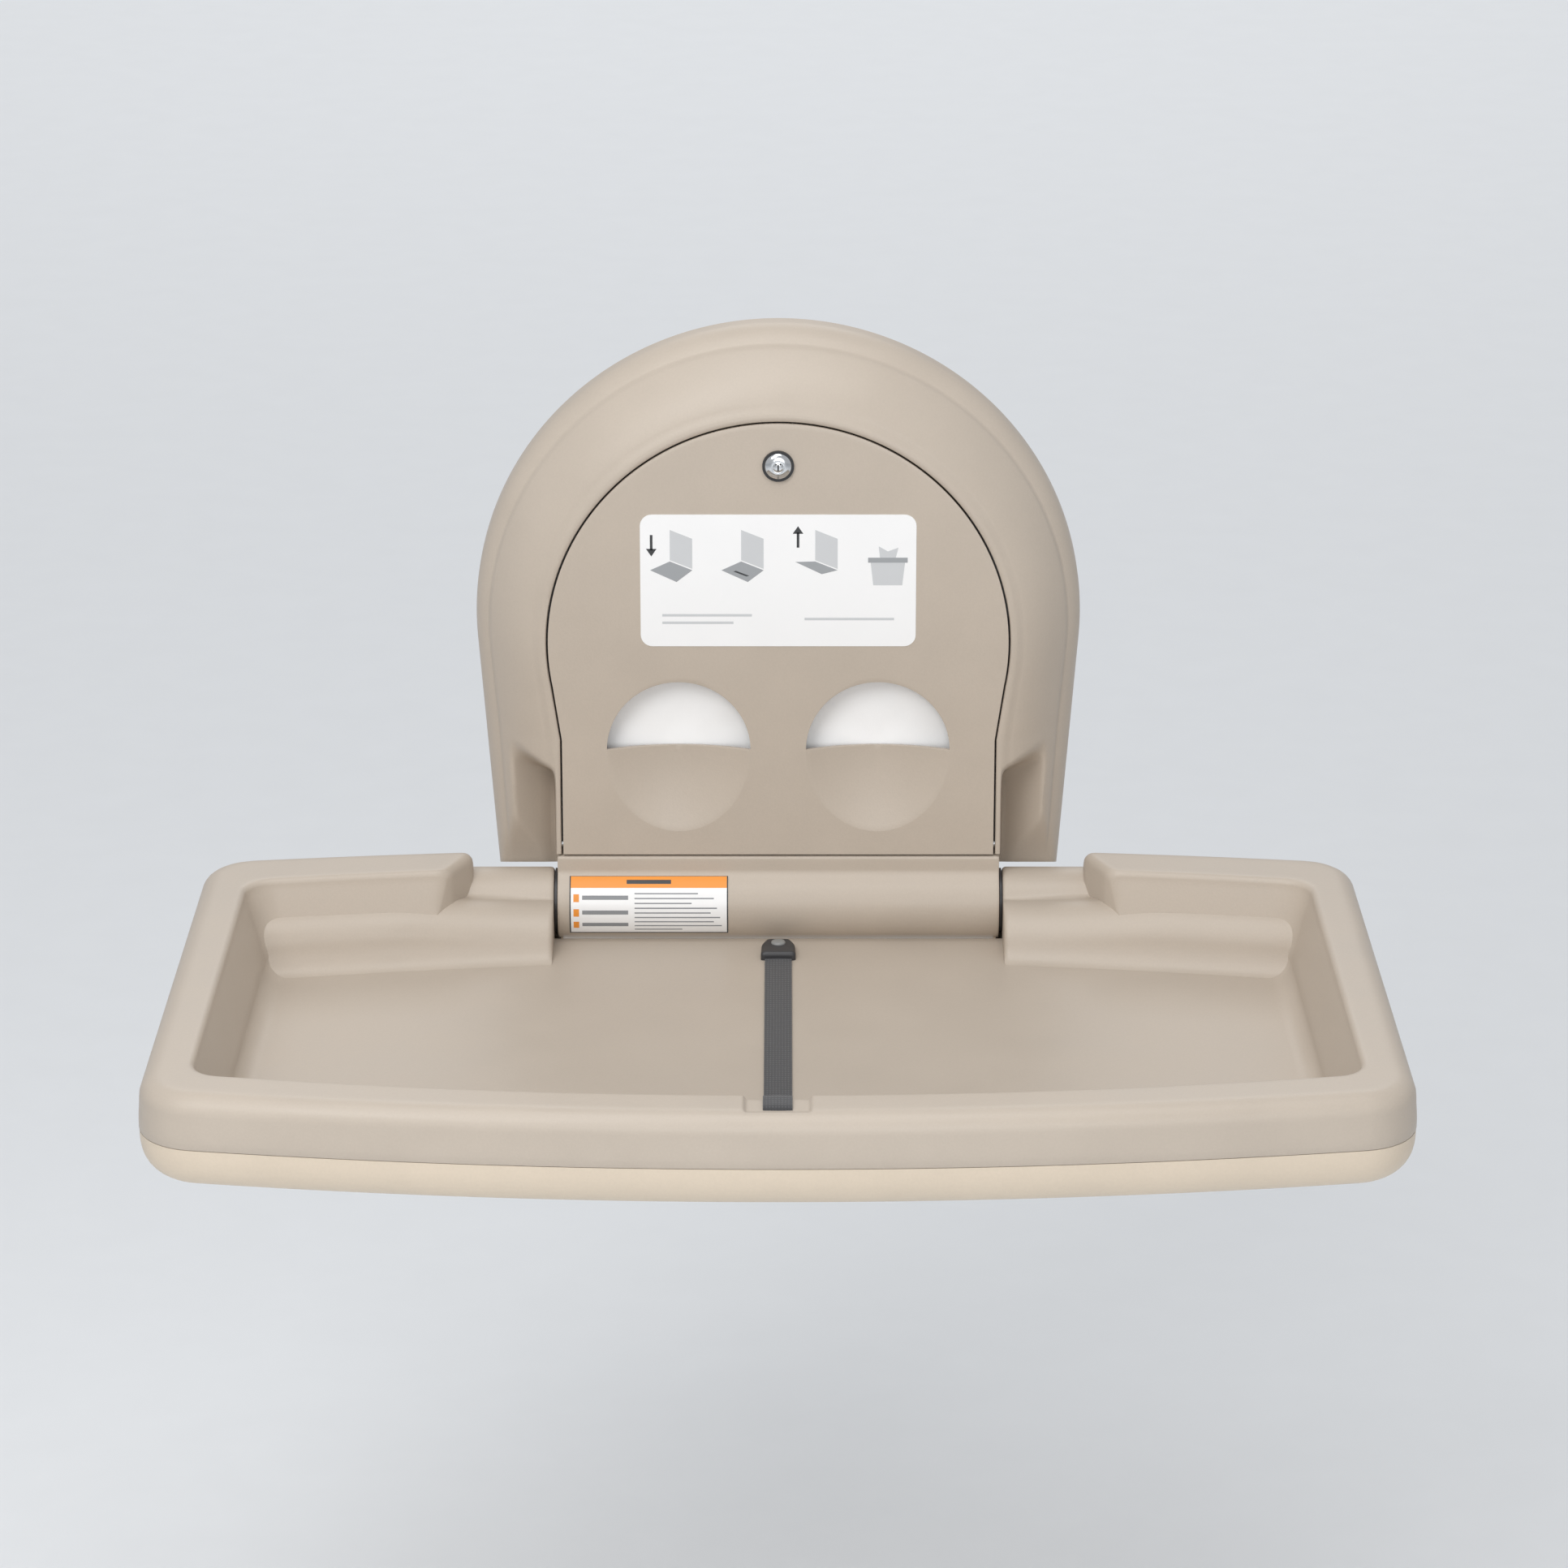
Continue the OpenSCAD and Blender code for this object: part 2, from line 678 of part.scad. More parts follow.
module bed_tray() color(grey_beige) {
    difference() {
        union() {
            difference() {
                plan(seam_up + 0.5, rim_up) polygon(outer(0));
                plan(seam_up, rim_up - bed_t) polygon(outer(bed_t));
            }
            intersection() {
                tub_solid(bed_t, 2);
                plan(floor_up - bed_t, rim_up) polygon(outer(0));
            }
            difference() {
                fairing_run();
                plan(-far / 2, seam_up + 0.5) translate([-far / 2, -far]) square([far, far + 6]);
            }
            // Apron that carries the floor back to the hinge cover
            plan(floor_up - bed_t, floor_up)
                translate([-fairing_start, apron_out]) square([2 * fairing_start, 50]);
            // Well of the strap notch
            plan(rim_up - 3 - bed_t, rim_up)
                translate([-25.5, bed_reach - tub_front - 4]) square([51, 33]);
            // Screw bosses under the floor
            for (p = screw_places)
                plan(belly_up + bed_t + loose, floor_up - bed_t + 1) translate(p) circle(r = 7, $fn = 32);
        }
        difference() {
            tub_solid(0);
            fairing_run();
        }
        both_sides() section(fairing_start + bed_t, fairing_end - bed_t) fairing_room_2d();
        // Between the horns the rim is left out, above the fairings
        difference() {
            section(-horn_x, horn_x)
                translate([-100, floor_up + 0.01]) square([100 + tub(draft + 6)[0][1] + 1, far]);
            fairing_run();
        }
        centre_cut();
        plan(rim_up - 3, rim_up + 1)
            translate([-22.5, bed_reach - tub_front - 20]) square([45, 46]);
        plan(rim_up - 10, rim_up + 1)
            translate([-strap_w / 2 - 0.5, strap_slot]) square([strap_w + 1, 3]);
        both_sides() bar(fairing_start - 1, fairing_start + bed_t + 1, shaft_r + 1);
        for (p = screw_places)
            plan(belly_up, belly_up + bed_t + 12) translate(p) circle(r = screw_r + snug, $fn = 32);
    }
}

// Underside of the hinge fairings, part of the lower shell
under_2d = [[-fairing_r, seam_up - 0.5], [-fairing_r, -6], [-20, -18], [-4, -28], [30, -33],
            [48, -35], [48, seam_up - 0.5]];
under_room_2d = [[-fairing_r + bed_t, far], [-fairing_r + bed_t, -5], [-18, -15.6], [-3, -24.7],
                 [30, -29.8], [46, -31.4], [60, far]];

module bed_shell() color(cream) {
    difference() {
        union() {
            belly_solid(0, 0);
            both_sides() section(fairing_start, fairing_end) polygon(under_2d);
        }
        belly_solid(bed_t, bed_t);
        both_sides() section(fairing_start + bed_t, fairing_end - bed_t) polygon(under_room_2d);
        centre_cut();
        // Room for the tray's fairings, which stand in the shell
        both_sides() section(fairing_start - 1, fairing_end + 1)
            difference() {
                polygon(fairing_points(loose));
                translate([-far, -far]) square([far + 6 - loose, far + seam_up + 0.5 - loose]);
            }
        both_sides() bar(fairing_start - 1, fairing_start + bed_t + 1, shaft_r + 1);
        for (p = screw_places)
            plan(belly_up - 1, belly_up + bed_t + 1) translate(p) circle(r = screw_r + 0.2, $fn = 32);
    }
}

arm_x = fairing_start + 16.8;
arm_t = 5;
rail_top = floor_up - bed_t - loose;
rail_t = 4;
rail_out0 = 54;
rail_out1 = bed_reach - 139.5;

// Flat steel frame between the tray's floor and the belly
module bed_frame() color(steel) {
    plan(rail_top - rail_t, rail_top) {
        for (x = [-arm_x - 12, arm_x - 13])
            translate([x, rail_out0]) square([25, rail_out1 - rail_out0]);
        for (out = [rail_out0 + 28, rail_out1 - 40])
            translate([-arm_x - 12, out]) square([2 * arm_x + 24, 25]);
    }
}

module hinge_arm(s) color(steel) {
    difference() {
        side_section(s, arm_x, arm_x + arm_t)
            hull() {
                circle(r = shaft_r + 7);
                translate([rail_out0 - 4, rail_top - rail_t]) square([4 - snug, rail_t]);
            }
        bar(-far, far, shaft_r + snug);
    }
}

screw_r = 2.2;
screw_places = [for (x = [-bed_half / 3, bed_half / 3], out = [bed_reach * 0.43, bed_reach * 0.54])
                [x, out]];

module shell_screws() color(steel) {
    for (p = screw_places) {
        plan(belly_up, belly_up + bed_t + 11) translate(p) circle(r = screw_r, $fn = 32);
        plan(belly_up - 1.8, belly_up - snug) translate(p) circle(r = 4.2, $fn = 32);
    }
}

strap_t = 1.6;
strap_slot = bed_reach - tub_front + 22;
strap_lie = floor_up + 0.2 + strap_t / 2;
strap_rise = bed_reach - tub_front - draft - 7;
strap_path = [[66, strap_lie], [strap_rise - 12, strap_lie], [strap_rise - 3, strap_lie + 1.6],
              [strap_rise + 2, strap_lie + 7], [strap_rise + 6, floor_up + 16],
              [bed_reach - tub_front - 3.6, rim_up - 8], [bed_reach - tub_front - 2.3, rim_up - 2.4],
              [bed_reach - tub_front + 2, rim_up - 1.7],
              [strap_slot + 0.2, rim_up - 1.5], [strap_slot + 1.5, rim_up - 3],
              [strap_slot + 1.5, rim_up - 8], [strap_slot + 1.5, rim_up - 20]];

module strap() color("#5c5c5c") {
    section(-strap_w / 2, strap_w / 2) polygon(thick(strap_path, strap_t));
}

module strap_end_clamp() color("#303030") {
    section(-strap_w / 2 - 3, strap_w / 2 + 3)
        difference() {
            translate([strap_slot - 4, rim_up - 18]) square([11, 8]);
            translate([strap_slot + 0.4, rim_up - 20]) square([2.3, 12]);
        }
}

buckle_out0 = 36;
buckle_out1 = 66;
buckle_h = 7;
button_r = 5.5;

module strap_buckle() color("#404040") {
    difference() {
        plan(floor_up + 0.05, floor_up + buckle_h)
            polygon([[-9, buckle_out0], [9, buckle_out0], [13, buckle_out0 + 9], [13, buckle_out1],
                     [-13, buckle_out1], [-13, buckle_out0 + 9]]);
        plan(floor_up + 2, floor_up + buckle_h + 1)
            translate([0, buckle_out0 + 11]) circle(r = button_r + loose, $fn = 48);
    }
}

module buckle_button() color("#707070") {
    plan(floor_up + 5, floor_up + buckle_h + 1.6)
        translate([0, buckle_out0 + 11]) circle(r = button_r, $fn = 48);
}

mounting_chassis();
body_shell();
hinge_cover();
hinge_bracket(-1);  // hinge_bracket_left
hinge_bracket(1);  // hinge_bracket_right
bracket_bush(-1);  // bracket_bush_left
bracket_bush(1);  // bracket_bush_right
liner_box(-1);  // liner_box_left
liner_box(1);  // liner_box_right
liner_stack(-1);  // liner_stack_left
liner_stack(1);  // liner_stack_right
liner_pusher(-1);  // liner_pusher_left
liner_pusher(1);  // liner_pusher_right
damper_cylinder();
damper_clamp();
damper_rod();
door_pivots();
lock_catch();
caution_label();
door_panel();
instruction_label();
lock_housing();
lock_nut();
lock_plug();
lock_cam();
bed_tray();
bed_shell();
bed_frame();
hinge_shaft();
hinge_arm(-1);  // hinge_arm_left
hinge_arm(1);  // hinge_arm_right
thrust_washers();
damper_crank();
strap();
strap_buckle();
buckle_button();
strap_end_clamp();
shell_screws();
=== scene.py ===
"""Visual model of a fold-down changing table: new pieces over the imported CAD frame."""

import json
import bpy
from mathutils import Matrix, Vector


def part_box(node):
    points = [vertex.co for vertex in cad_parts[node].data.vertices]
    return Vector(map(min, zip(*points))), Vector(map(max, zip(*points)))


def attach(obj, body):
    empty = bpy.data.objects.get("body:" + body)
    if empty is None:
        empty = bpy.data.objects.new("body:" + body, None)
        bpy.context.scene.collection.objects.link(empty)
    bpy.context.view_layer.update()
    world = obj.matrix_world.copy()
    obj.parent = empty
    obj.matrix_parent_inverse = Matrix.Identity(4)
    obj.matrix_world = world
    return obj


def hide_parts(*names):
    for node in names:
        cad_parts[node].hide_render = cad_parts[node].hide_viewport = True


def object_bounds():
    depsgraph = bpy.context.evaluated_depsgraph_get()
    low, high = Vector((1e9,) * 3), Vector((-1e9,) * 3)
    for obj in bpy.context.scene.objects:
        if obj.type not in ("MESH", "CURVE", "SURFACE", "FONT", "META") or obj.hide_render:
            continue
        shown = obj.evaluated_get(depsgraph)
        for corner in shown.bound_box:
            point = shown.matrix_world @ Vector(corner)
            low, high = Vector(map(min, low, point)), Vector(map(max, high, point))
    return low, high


bl_info = {
    "name": "Fold-down changing table",
    "version": (1, 0, 0),
    "blender": (4, 5, 0),
    "location": "3D View > Sidebar > Changing table",
    "description": "Wall-mounted changing table with a domed housing and a folding bed",
    "category": "Object",
}

from math import acos, atan2, cos, degrees, pi, radians, sin

import bmesh
import bpy
import numpy as np

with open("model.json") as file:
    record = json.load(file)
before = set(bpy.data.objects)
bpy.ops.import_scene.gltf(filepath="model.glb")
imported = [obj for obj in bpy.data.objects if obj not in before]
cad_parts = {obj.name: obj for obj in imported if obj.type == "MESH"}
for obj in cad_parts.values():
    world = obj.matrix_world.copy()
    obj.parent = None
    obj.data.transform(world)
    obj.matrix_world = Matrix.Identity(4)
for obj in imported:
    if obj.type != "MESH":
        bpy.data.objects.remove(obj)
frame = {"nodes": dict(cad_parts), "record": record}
CAD_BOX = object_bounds()

MM = 0.001
HINGE_OUT = 52.0  # distance of the hinge axis off the wall
HINGE_DOWN = 230.0  # height of the hinge axis under the origin
FLANK = 55.2  # width of the housing's profile, from the door gap to the wall
KNEE = 93.3  # height of the knee in the door's side over its foot
HORN = 236.0  # place of the columns that end the rim behind
BED_HUB = (0, 268.0)  # middle of the bed's floor, where its rings close
COVER_EDGE = 20.3  # place of the tray's back edge under the hinge cover
RIM_ROLL = 15  # radius of the rim's outer edge
MOUTH_ROLL = 5  # radius of the rim's inner edge
WELL_DRAFT = 14  # how far the well draws in from its mouth to its floor's rounding
FLOOR_ROUND = 15  # radius between the well's wall and its floor
NOTCH_DEPTH = 3.2  # depth of the strap's notch in the rim
FAIRING_RADIUS = 26  # radius of the fairings round the hinge axis
SWELL_RADIUS = 30  # radius of the lower swell before them
PAD_WAVE = 0.25 * MM  # half depth of the folds in a stack of liners
FLOOR_DROP = 0.62  # height of the table's lowest point over the stage's floor
FLOOR_HALF = 30.0  # half width of the stage's floor
CAMERA_PLACE = (0.0044, -4.2229, 1.4171)  # level with the wall, 4.2 m off and looking down
CAMERA_TILT = 69.6  # degrees up from looking straight down
CAMERA_LENS = 132.65  # focal length on a sensor 36 mm wide


# ---- colours and sizes that a user would change -----------------------------------------------


def linear(code):
    """Turns an sRGB hex value into linear red, green, blue and alpha."""
    srgb = np.array([int(code[i : i + 2], 16) / 255 for i in (1, 3, 5)])
    value = np.where(srgb <= 0.04045, srgb / 12.92, ((srgb + 0.055) / 1.055) ** 2.4)
    return (*value.tolist(), 1.0)


def length(name, description, value):
    """A length property; its default is given in millimetres."""
    return bpy.props.FloatProperty(
        name=name, description=description, default=value * MM, unit="LENGTH", subtype="DISTANCE"
    )


def colour(name, description, code):
    """A colour property; its default is an sRGB hex value."""
    return bpy.props.FloatVectorProperty(
        name=name, description=description, default=linear(code), size=4, subtype="COLOR"
    )


class TableSizes(bpy.types.PropertyGroup):
    """Sizes of the changing table, the same as the CAD model's."""

    dome_radius: length("Dome radius", "Radius of the housing at the wall", 232)
    dome_centre: length("Dome centre", "Height of the dome's centre over the hinge", 221)
    housing_foot: length("Housing foot", "Height of the housing's foot over the hinge", 12)
    door_stand: length("Door stand-off", "Distance of the door face off the wall", 66)
    door_radius: length("Door radius", "Radius of the door's round top", 175.3)
    door_centre: length("Door centre", "Height of the round top's centre over the hinge", 214)
    door_half: length("Door half width", "Half width of the door's straight foot", 165.6)
    door_foot: length("Door foot", "Height of the door's lower edge over the hinge", 43.2)
    door_gap: length("Door gap", "Gap all round the door", 1.5)
    opening_radius: length("Opening radius", "Radius of the two liner openings", 55)
    opening_place: length("Opening place", "Distance of an opening from the middle", 76.2)
    opening_lip: length("Opening lip", "Height of the openings' lip over the hinge", 129)
    scoop_depth: length("Scoop depth", "Depth of the finger scoops", 11)
    cover_radius: length("Hinge cover radius", "Radius of the round hinge cover", 30)
    cover_half: length("Hinge cover half length", "Half length of the hinge cover", 170.3)
    bed_width: length("Bed width", "Width of the bed over its front corners", 899)
    bed_reach: length("Bed reach", "Reach of the open bed past the hinge", 519.5)
    rim_height: length("Rim height", "Height of the rim over the hinge", 44)
    tray_depth: length("Tray depth", "Depth of the tray from rim to floor", 68)
    bed_depth: length("Bed depth", "Depth of the bed from rim to belly", 94)
    seam_height: length("Seam height", "Height of the parting line over the hinge", 5)
    strap_width: length("Strap width", "Width of the safety strap", 20.6)


class TableColours(bpy.types.PropertyGroup):
    """Colours of the changing table's finishes."""

    housing: colour("Housing", "Grey-beige moulded plastic", "#BCB0A2")
    shell: colour("Lower shell", "Cream moulded plastic", "#D6C7B3")
    strap: colour("Strap", "Grey webbing", "#4A4A4C")
    buckle: colour("Buckle", "Dark moulded plastic", "#39393B")
    label: colour("Label", "White printed film", "#F2F2F2")
    notice: colour("Notice", "Orange band of the notice label", "#F0973A")
    liner: colour("Liner", "White folded paper", "#FBFBFB")
    steel: colour("Steel", "Zinc-plated steel", "#B4B6B8")
    floor: colour("Floor", "Plain pale floor", "#E6E8EA")


def mm(value):
    """Metres to millimetres."""
    return value / MM


# ---- mesh tools ---------------------------------------------------------------------------------


def place(x, past, up):
    """Points in metres from millimetres: x along the wall, past the hinge axis, up from it."""
    x, past, up = np.broadcast_arrays(x, past, up)
    return np.stack([x, -HINGE_OUT - past, up - HINGE_DOWN], -1) * MM


def grid_faces(rows, cols, closed=False, keep=None):
    """Quads between the neighbours of a rows by cols grid, its last column joined if closed."""
    r, c = np.meshgrid(np.arange(rows - 1), np.arange(cols if closed else cols - 1), indexing="ij")
    n = (c + 1) % cols
    quads = np.stack([r * cols + c, r * cols + n, (r + 1) * cols + n, (r + 1) * cols + c], -1)
    return quads[keep] if keep is not None else quads.reshape(-1, 4)


def joined(parts):
    """Several (points, faces) put together as one."""
    start = np.cumsum([0] + [len(p) for p, _ in parts[:-1]])
    points = np.concatenate([p for p, _ in parts])
    return points, np.concatenate([f + s for (_, f), s in zip(parts, start)])


def smoothstep(a, b, value):
    """0 below a, 1 above b, and an even S-curve between them; a may be the larger one."""
    t = np.clip((value - a) / (b - a), 0, 1)
    return t * t * (3 - 2 * t)


def spaced(points, count):
    """A line of points resampled to count points, evenly along its length."""
    points = np.asarray(points, float)
    run = np.concatenate([[0], np.cumsum(np.linalg.norm(np.diff(points, axis=0), axis=1))])
    at = np.linspace(0, run[-1], count)
    return np.stack([np.interp(at, run, points[:, k]) for k in range(points.shape[1])], -1)


def softened(points, passes):
    """A line with each inner point moved to the mean of itself and its neighbours, repeatedly."""
    points = np.array(points, float)
    for _ in range(passes):
        points[1:-1] = (points[:-2] + 2 * points[1:-1] + points[2:]) / 4
    return points


def soft_minimum(a, b, ease):
    """The lesser of a and b, with the corner where they cross rounded over about ease."""
    return -ease * np.log(np.exp(-a / ease) + np.exp(-b / ease))


def arc(centre, radius, start, stop, count):
    """count points on a circle, from the angle start to stop in degrees."""
    a = np.radians(np.linspace(start, stop, count))
    return np.stack([centre[0] + radius * np.cos(a), centre[1] + radius * np.sin(a)], -1)


def facing(points, faces, front=None):
    """The faces turned over if need be, to look along front, or outward where none is given."""
    a, b, c, d = (points[faces[:, i]] for i in range(4))
    way = np.asarray(front) if front is not None else (a + b + c + d) / 4 - points.mean(0)
    return faces[:, ::-1] if (np.cross(c - a, d - b) * way).sum() < 0 else faces


def quad_mesh(name, points, faces, uv=None):
    """A mesh with its doubled points merged and its flat faces removed."""
    mesh = bpy.data.meshes.new(name)
    mesh.from_pydata(points.tolist(), [], faces.tolist())
    if uv is not None:
        corner = np.empty(len(mesh.loops), np.int32)
        mesh.loops.foreach_get("vertex_index", corner)
        layer = mesh.uv_layers.new(name="UVMap")
        layer.data.foreach_set("uv", uv[corner].astype(np.float32).ravel())
    work = bmesh.new()
    work.from_mesh(mesh)
    bmesh.ops.remove_doubles(work, verts=work.verts, dist=2e-6)
    bmesh.ops.dissolve_degenerate(work, dist=1e-7, edges=work.edges)
    work.to_mesh(mesh)
    work.free()
    return mesh


def thicken(piece, wall, bevel):
    """Gives a piece a wall inwards and rounds its sharp edges, both in millimetres."""
    if wall:
        solid = piece.modifiers.new("Wall", "SOLIDIFY")
        solid.thickness = wall * MM
        solid.offset = -1.0
    if bevel:
        round_off = piece.modifiers.new("Edges", "BEVEL")
        round_off.width = bevel * MM
        round_off.segments = 2
        round_off.limit_method = "ANGLE"
        round_off.angle_limit = radians(50)
    if piece.modifiers:
        bpy.context.view_layer.update()
        shape = piece.evaluated_get(bpy.context.evaluated_depsgraph_get())
        baked = bpy.data.meshes.new_from_object(shape)
        piece.modifiers.clear()
        piece.data = baked
        baked.name = piece.name


def make(name, points, faces, body, slot, replaced=(), material=None, wall=0.0, bevel=0.0,
         front=None, uv=None, sharp=38.0):
    """Builds a piece from points in metres and quads, in its slot's finish if none is given.

    A closed mesh is turned so that its volume is positive, and an open one so that its faces look
    along front. wall thickens it inwards, bevel rounds its sharp edges, both in millimetres.
    """
    mesh = quad_mesh(name, points, facing(points, faces, front), uv)
    piece = bpy.data.objects.new(name, mesh)
    bpy.context.scene.collection.objects.link(piece)
    thicken(piece, wall, bevel)
    piece.data.shade_smooth()
    piece.data.set_sharp_from_angle(angle=radians(sharp))
    piece.data.materials.clear()
    piece.data.materials.append(material or FINISHES[slot]())
    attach(piece, body)
    if replaced:
        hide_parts(*replaced)
    return piece


def slab(outline, out0, out1):
    """A thin plate: a star-shaped outline of (x, up) between two distances off the wall."""
    outline = np.asarray(outline, float)
    mid = np.repeat(outline.mean(0)[None], len(outline), 0)
    rows = [(mid, out1), (outline, out1), (outline, out0), (mid, out0)]
    points = np.concatenate([place(o[:, 0], out - HINGE_OUT, o[:, 1]) for o, out in rows])
    return points, grid_faces(len(rows), len(outline), closed=True)


def turned(profile, x, up, count=64):
    """A profile of (radius, out) turned round the line through (x, up) that leads off the wall."""
    profile = np.asarray(profile, float)
    a = np.linspace(0, 2 * pi, count, endpoint=False)
    r, out = profile[:, :1], profile[:, 1:]
    points = place(x + r * np.cos(a), out - HINGE_OUT + 0 * a, up + r * np.sin(a))
    return points.reshape(-1, 3), grid_faces(len(profile), count, closed=True)


def rounded_box(width, height, radius, x=0.0, up=0.0, count=8):
    """Outline of a rectangle with round corners, centred on (x, up)."""
    w, h = width / 2 - radius, height / 2 - radius
    corners = [((w, h), 0), ((-w, h), 90), ((-w, -h), 180), ((w, -h), 270)]
    return np.concatenate([arc((x + c[0], up + c[1]), radius, s, s + 90, count)
                           for c, s in corners])


# ---- materials ----------------------------------------------------------------------------------


def add(tree, kind, settings=None, links=None):
    """Adds one node with its settings, by property or socket name, and its incoming links."""
    node = tree.nodes.new(kind)
    for key, value in (settings or {}).items():
        if isinstance(key, str) and key not in node.inputs:
            setattr(node, key, value)
        else:
            node.inputs[key].default_value = value
    for key, source in (links or {}).items():
        tree.links.new(source, node.inputs[key])
    return node


def surface(name, colour, roughness, grain, depth, mottle=0.05, metallic=0.0, spread=0.06,
            stretch=(1, 1, 1), coat=0.0, ior=1.46, speck=0.0):
    """A finish with a fine grain of the given size and depth in millimetres.

    The colour is mottled by a few per cent over patches of 60 mm, and the roughness varies by
    spread with the grain, as handling and cleaning leave it.
    """
    if name in bpy.data.materials:
        return bpy.data.materials[name]
    material = bpy.data.materials.new(name)
    material.use_nodes = True
    tree = material.node_tree
    tree.nodes.clear()
    coords = add(tree, "ShaderNodeTexCoord").outputs["Object"]
    mapped = add(tree, "ShaderNodeMapping", {"Scale": stretch}, {"Vector": coords})
    fine = add(tree, "ShaderNodeTexNoise", {"Scale": 1000 / grain, "Detail": 2.0},
               {"Vector": mapped.outputs["Vector"]})
    broad = add(tree, "ShaderNodeTexNoise", {"Scale": 1000 / 60, "Detail": 4.0},
                {"Vector": coords})
    shade = add(tree, "ShaderNodeMapRange",
                {"From Min": 0.3, "From Max": 0.7, "To Min": 1 - mottle, "To Max": 1 + mottle / 2},
                {"Value": broad.outputs["Fac"]})
    speckle = add(tree, "ShaderNodeMapRange",
                  {"From Min": 0.35, "From Max": 0.65, "To Min": 1 - speck, "To Max": 1 + speck},
                  {"Value": fine.outputs["Fac"]})
    both = add(tree, "ShaderNodeMath", {"operation": "MULTIPLY"},
               {0: shade.outputs[0], 1: speckle.outputs[0]})
    tint = add(tree, "ShaderNodeVectorMath", {"operation": "SCALE", 0: colour[:3]},
               {"Scale": both.outputs[0]})
    rough = add(tree, "ShaderNodeMapRange",
                {"From Min": 0.3, "From Max": 0.7, "To Min": roughness - spread,
                 "To Max": roughness + spread}, {"Value": broad.outputs["Fac"]})
    bump = add(tree, "ShaderNodeBump", {"Distance": depth * MM, "Strength": 0.6},
               {"Height": fine.outputs["Fac"]})
    shader = add(tree, "ShaderNodeBsdfPrincipled",
                 {"Metallic": metallic, "IOR": ior, "Coat Weight": coat, "Coat Roughness": 0.2},
                 {"Base Color": tint.outputs[0], "Roughness": rough.outputs[0],
                  "Normal": bump.outputs[0]})
    add(tree, "ShaderNodeOutputMaterial", None, {"Surface": shader.outputs[0]})
    return material


def housing_plastic():
    """Moulded high-density polyethylene, spark-eroded tool: satin, with a fine leathery grain.

    The real grain is near 0.6 mm; it is drawn at 1.6 mm, as coarse as it needs to show.
    """
    return surface("moulded_polyethylene_beige", bpy.context.scene.table_colours.housing,
                   0.42, 1.6, 0.10, mottle=0.03, speck=0.012)


def shell_plastic():
    """Moulded polyethylene, cream: as the housing, a little smoother from its blow mould."""
    return surface("moulded_polyethylene_cream", bpy.context.scene.table_colours.shell,
                   0.46, 2.0, 0.10, mottle=0.03, speck=0.012)


def inner_plastic():
    """Moulded polystyrene of the dispensers: flat and pale, hardly any grain."""
    return surface("moulded_polystyrene_pale", linear("#D6D6D2"), 0.5, 1.2, 0.05)


def zinc_steel():
    """Zinc-plated pressed steel: cool grey with fine rolling marks along X."""
    return surface("zinc_plated_steel", bpy.context.scene.table_colours.steel, 0.36, 0.8, 0.02,
                   mottle=0.10, metallic=1.0, stretch=(0.08, 1, 1), ior=1.5)


def black_lacquer_and_keyway_shade():
    """Black lacquered steel: near black, smooth with a soft gloss; also the painted shade of the
    lock's keyway.
    """
    return surface("black_lacquered_steel", linear("#2B2B2C"), 0.32, 1.0, 0.02, mottle=0.08)


def nylon():
    """Moulded nylon of the bushes: warm white, slightly waxy."""
    return surface("moulded_nylon", linear("#EAE6DC"), 0.4, 1.0, 0.02)


def bright_chrome():
    """Chrome plating on brass: a mirror with the faintest wear haze."""
    return surface("chrome_plated_brass", linear("#D6D8DA"), 0.14, 3.0, 0.004, mottle=0.04,
                   metallic=1.0, spread=0.04, ior=1.5)


def buckle_plastic():
    """Moulded acetal of the buckle: dark charcoal, satin."""
    return surface("moulded_acetal_dark", bpy.context.scene.table_colours.buckle, 0.38, 0.9,
                   0.05, mottle=0.06)


def button_plastic():
    """Moulded acetal of the push button: mid grey."""
    return surface("moulded_acetal_grey", linear("#8A8A88"), 0.36, 0.9, 0.04)


def label_film():
    """Laminated polyester film: white and smooth, with a clear gloss layer."""
    return surface("laminated_film_white", bpy.context.scene.table_colours.label, 0.35, 4.0,
                   0.006, mottle=0.01, coat=0.2)


def liner_paper():
    """Soft crêpe tissue paper: white and matt, with a crinkle near 1.2 mm."""
    return surface("crepe_tissue_paper", bpy.context.scene.table_colours.liner, 0.85, 1.2, 0.12,
                   mottle=0.03, spread=0.02)


def ink(name, code):
    """Screen-printed ink on the labels: flat and slightly glossy."""
    return surface("printed_ink_" + name, linear(code), 0.4, 4.0, 0.004, mottle=0.02)


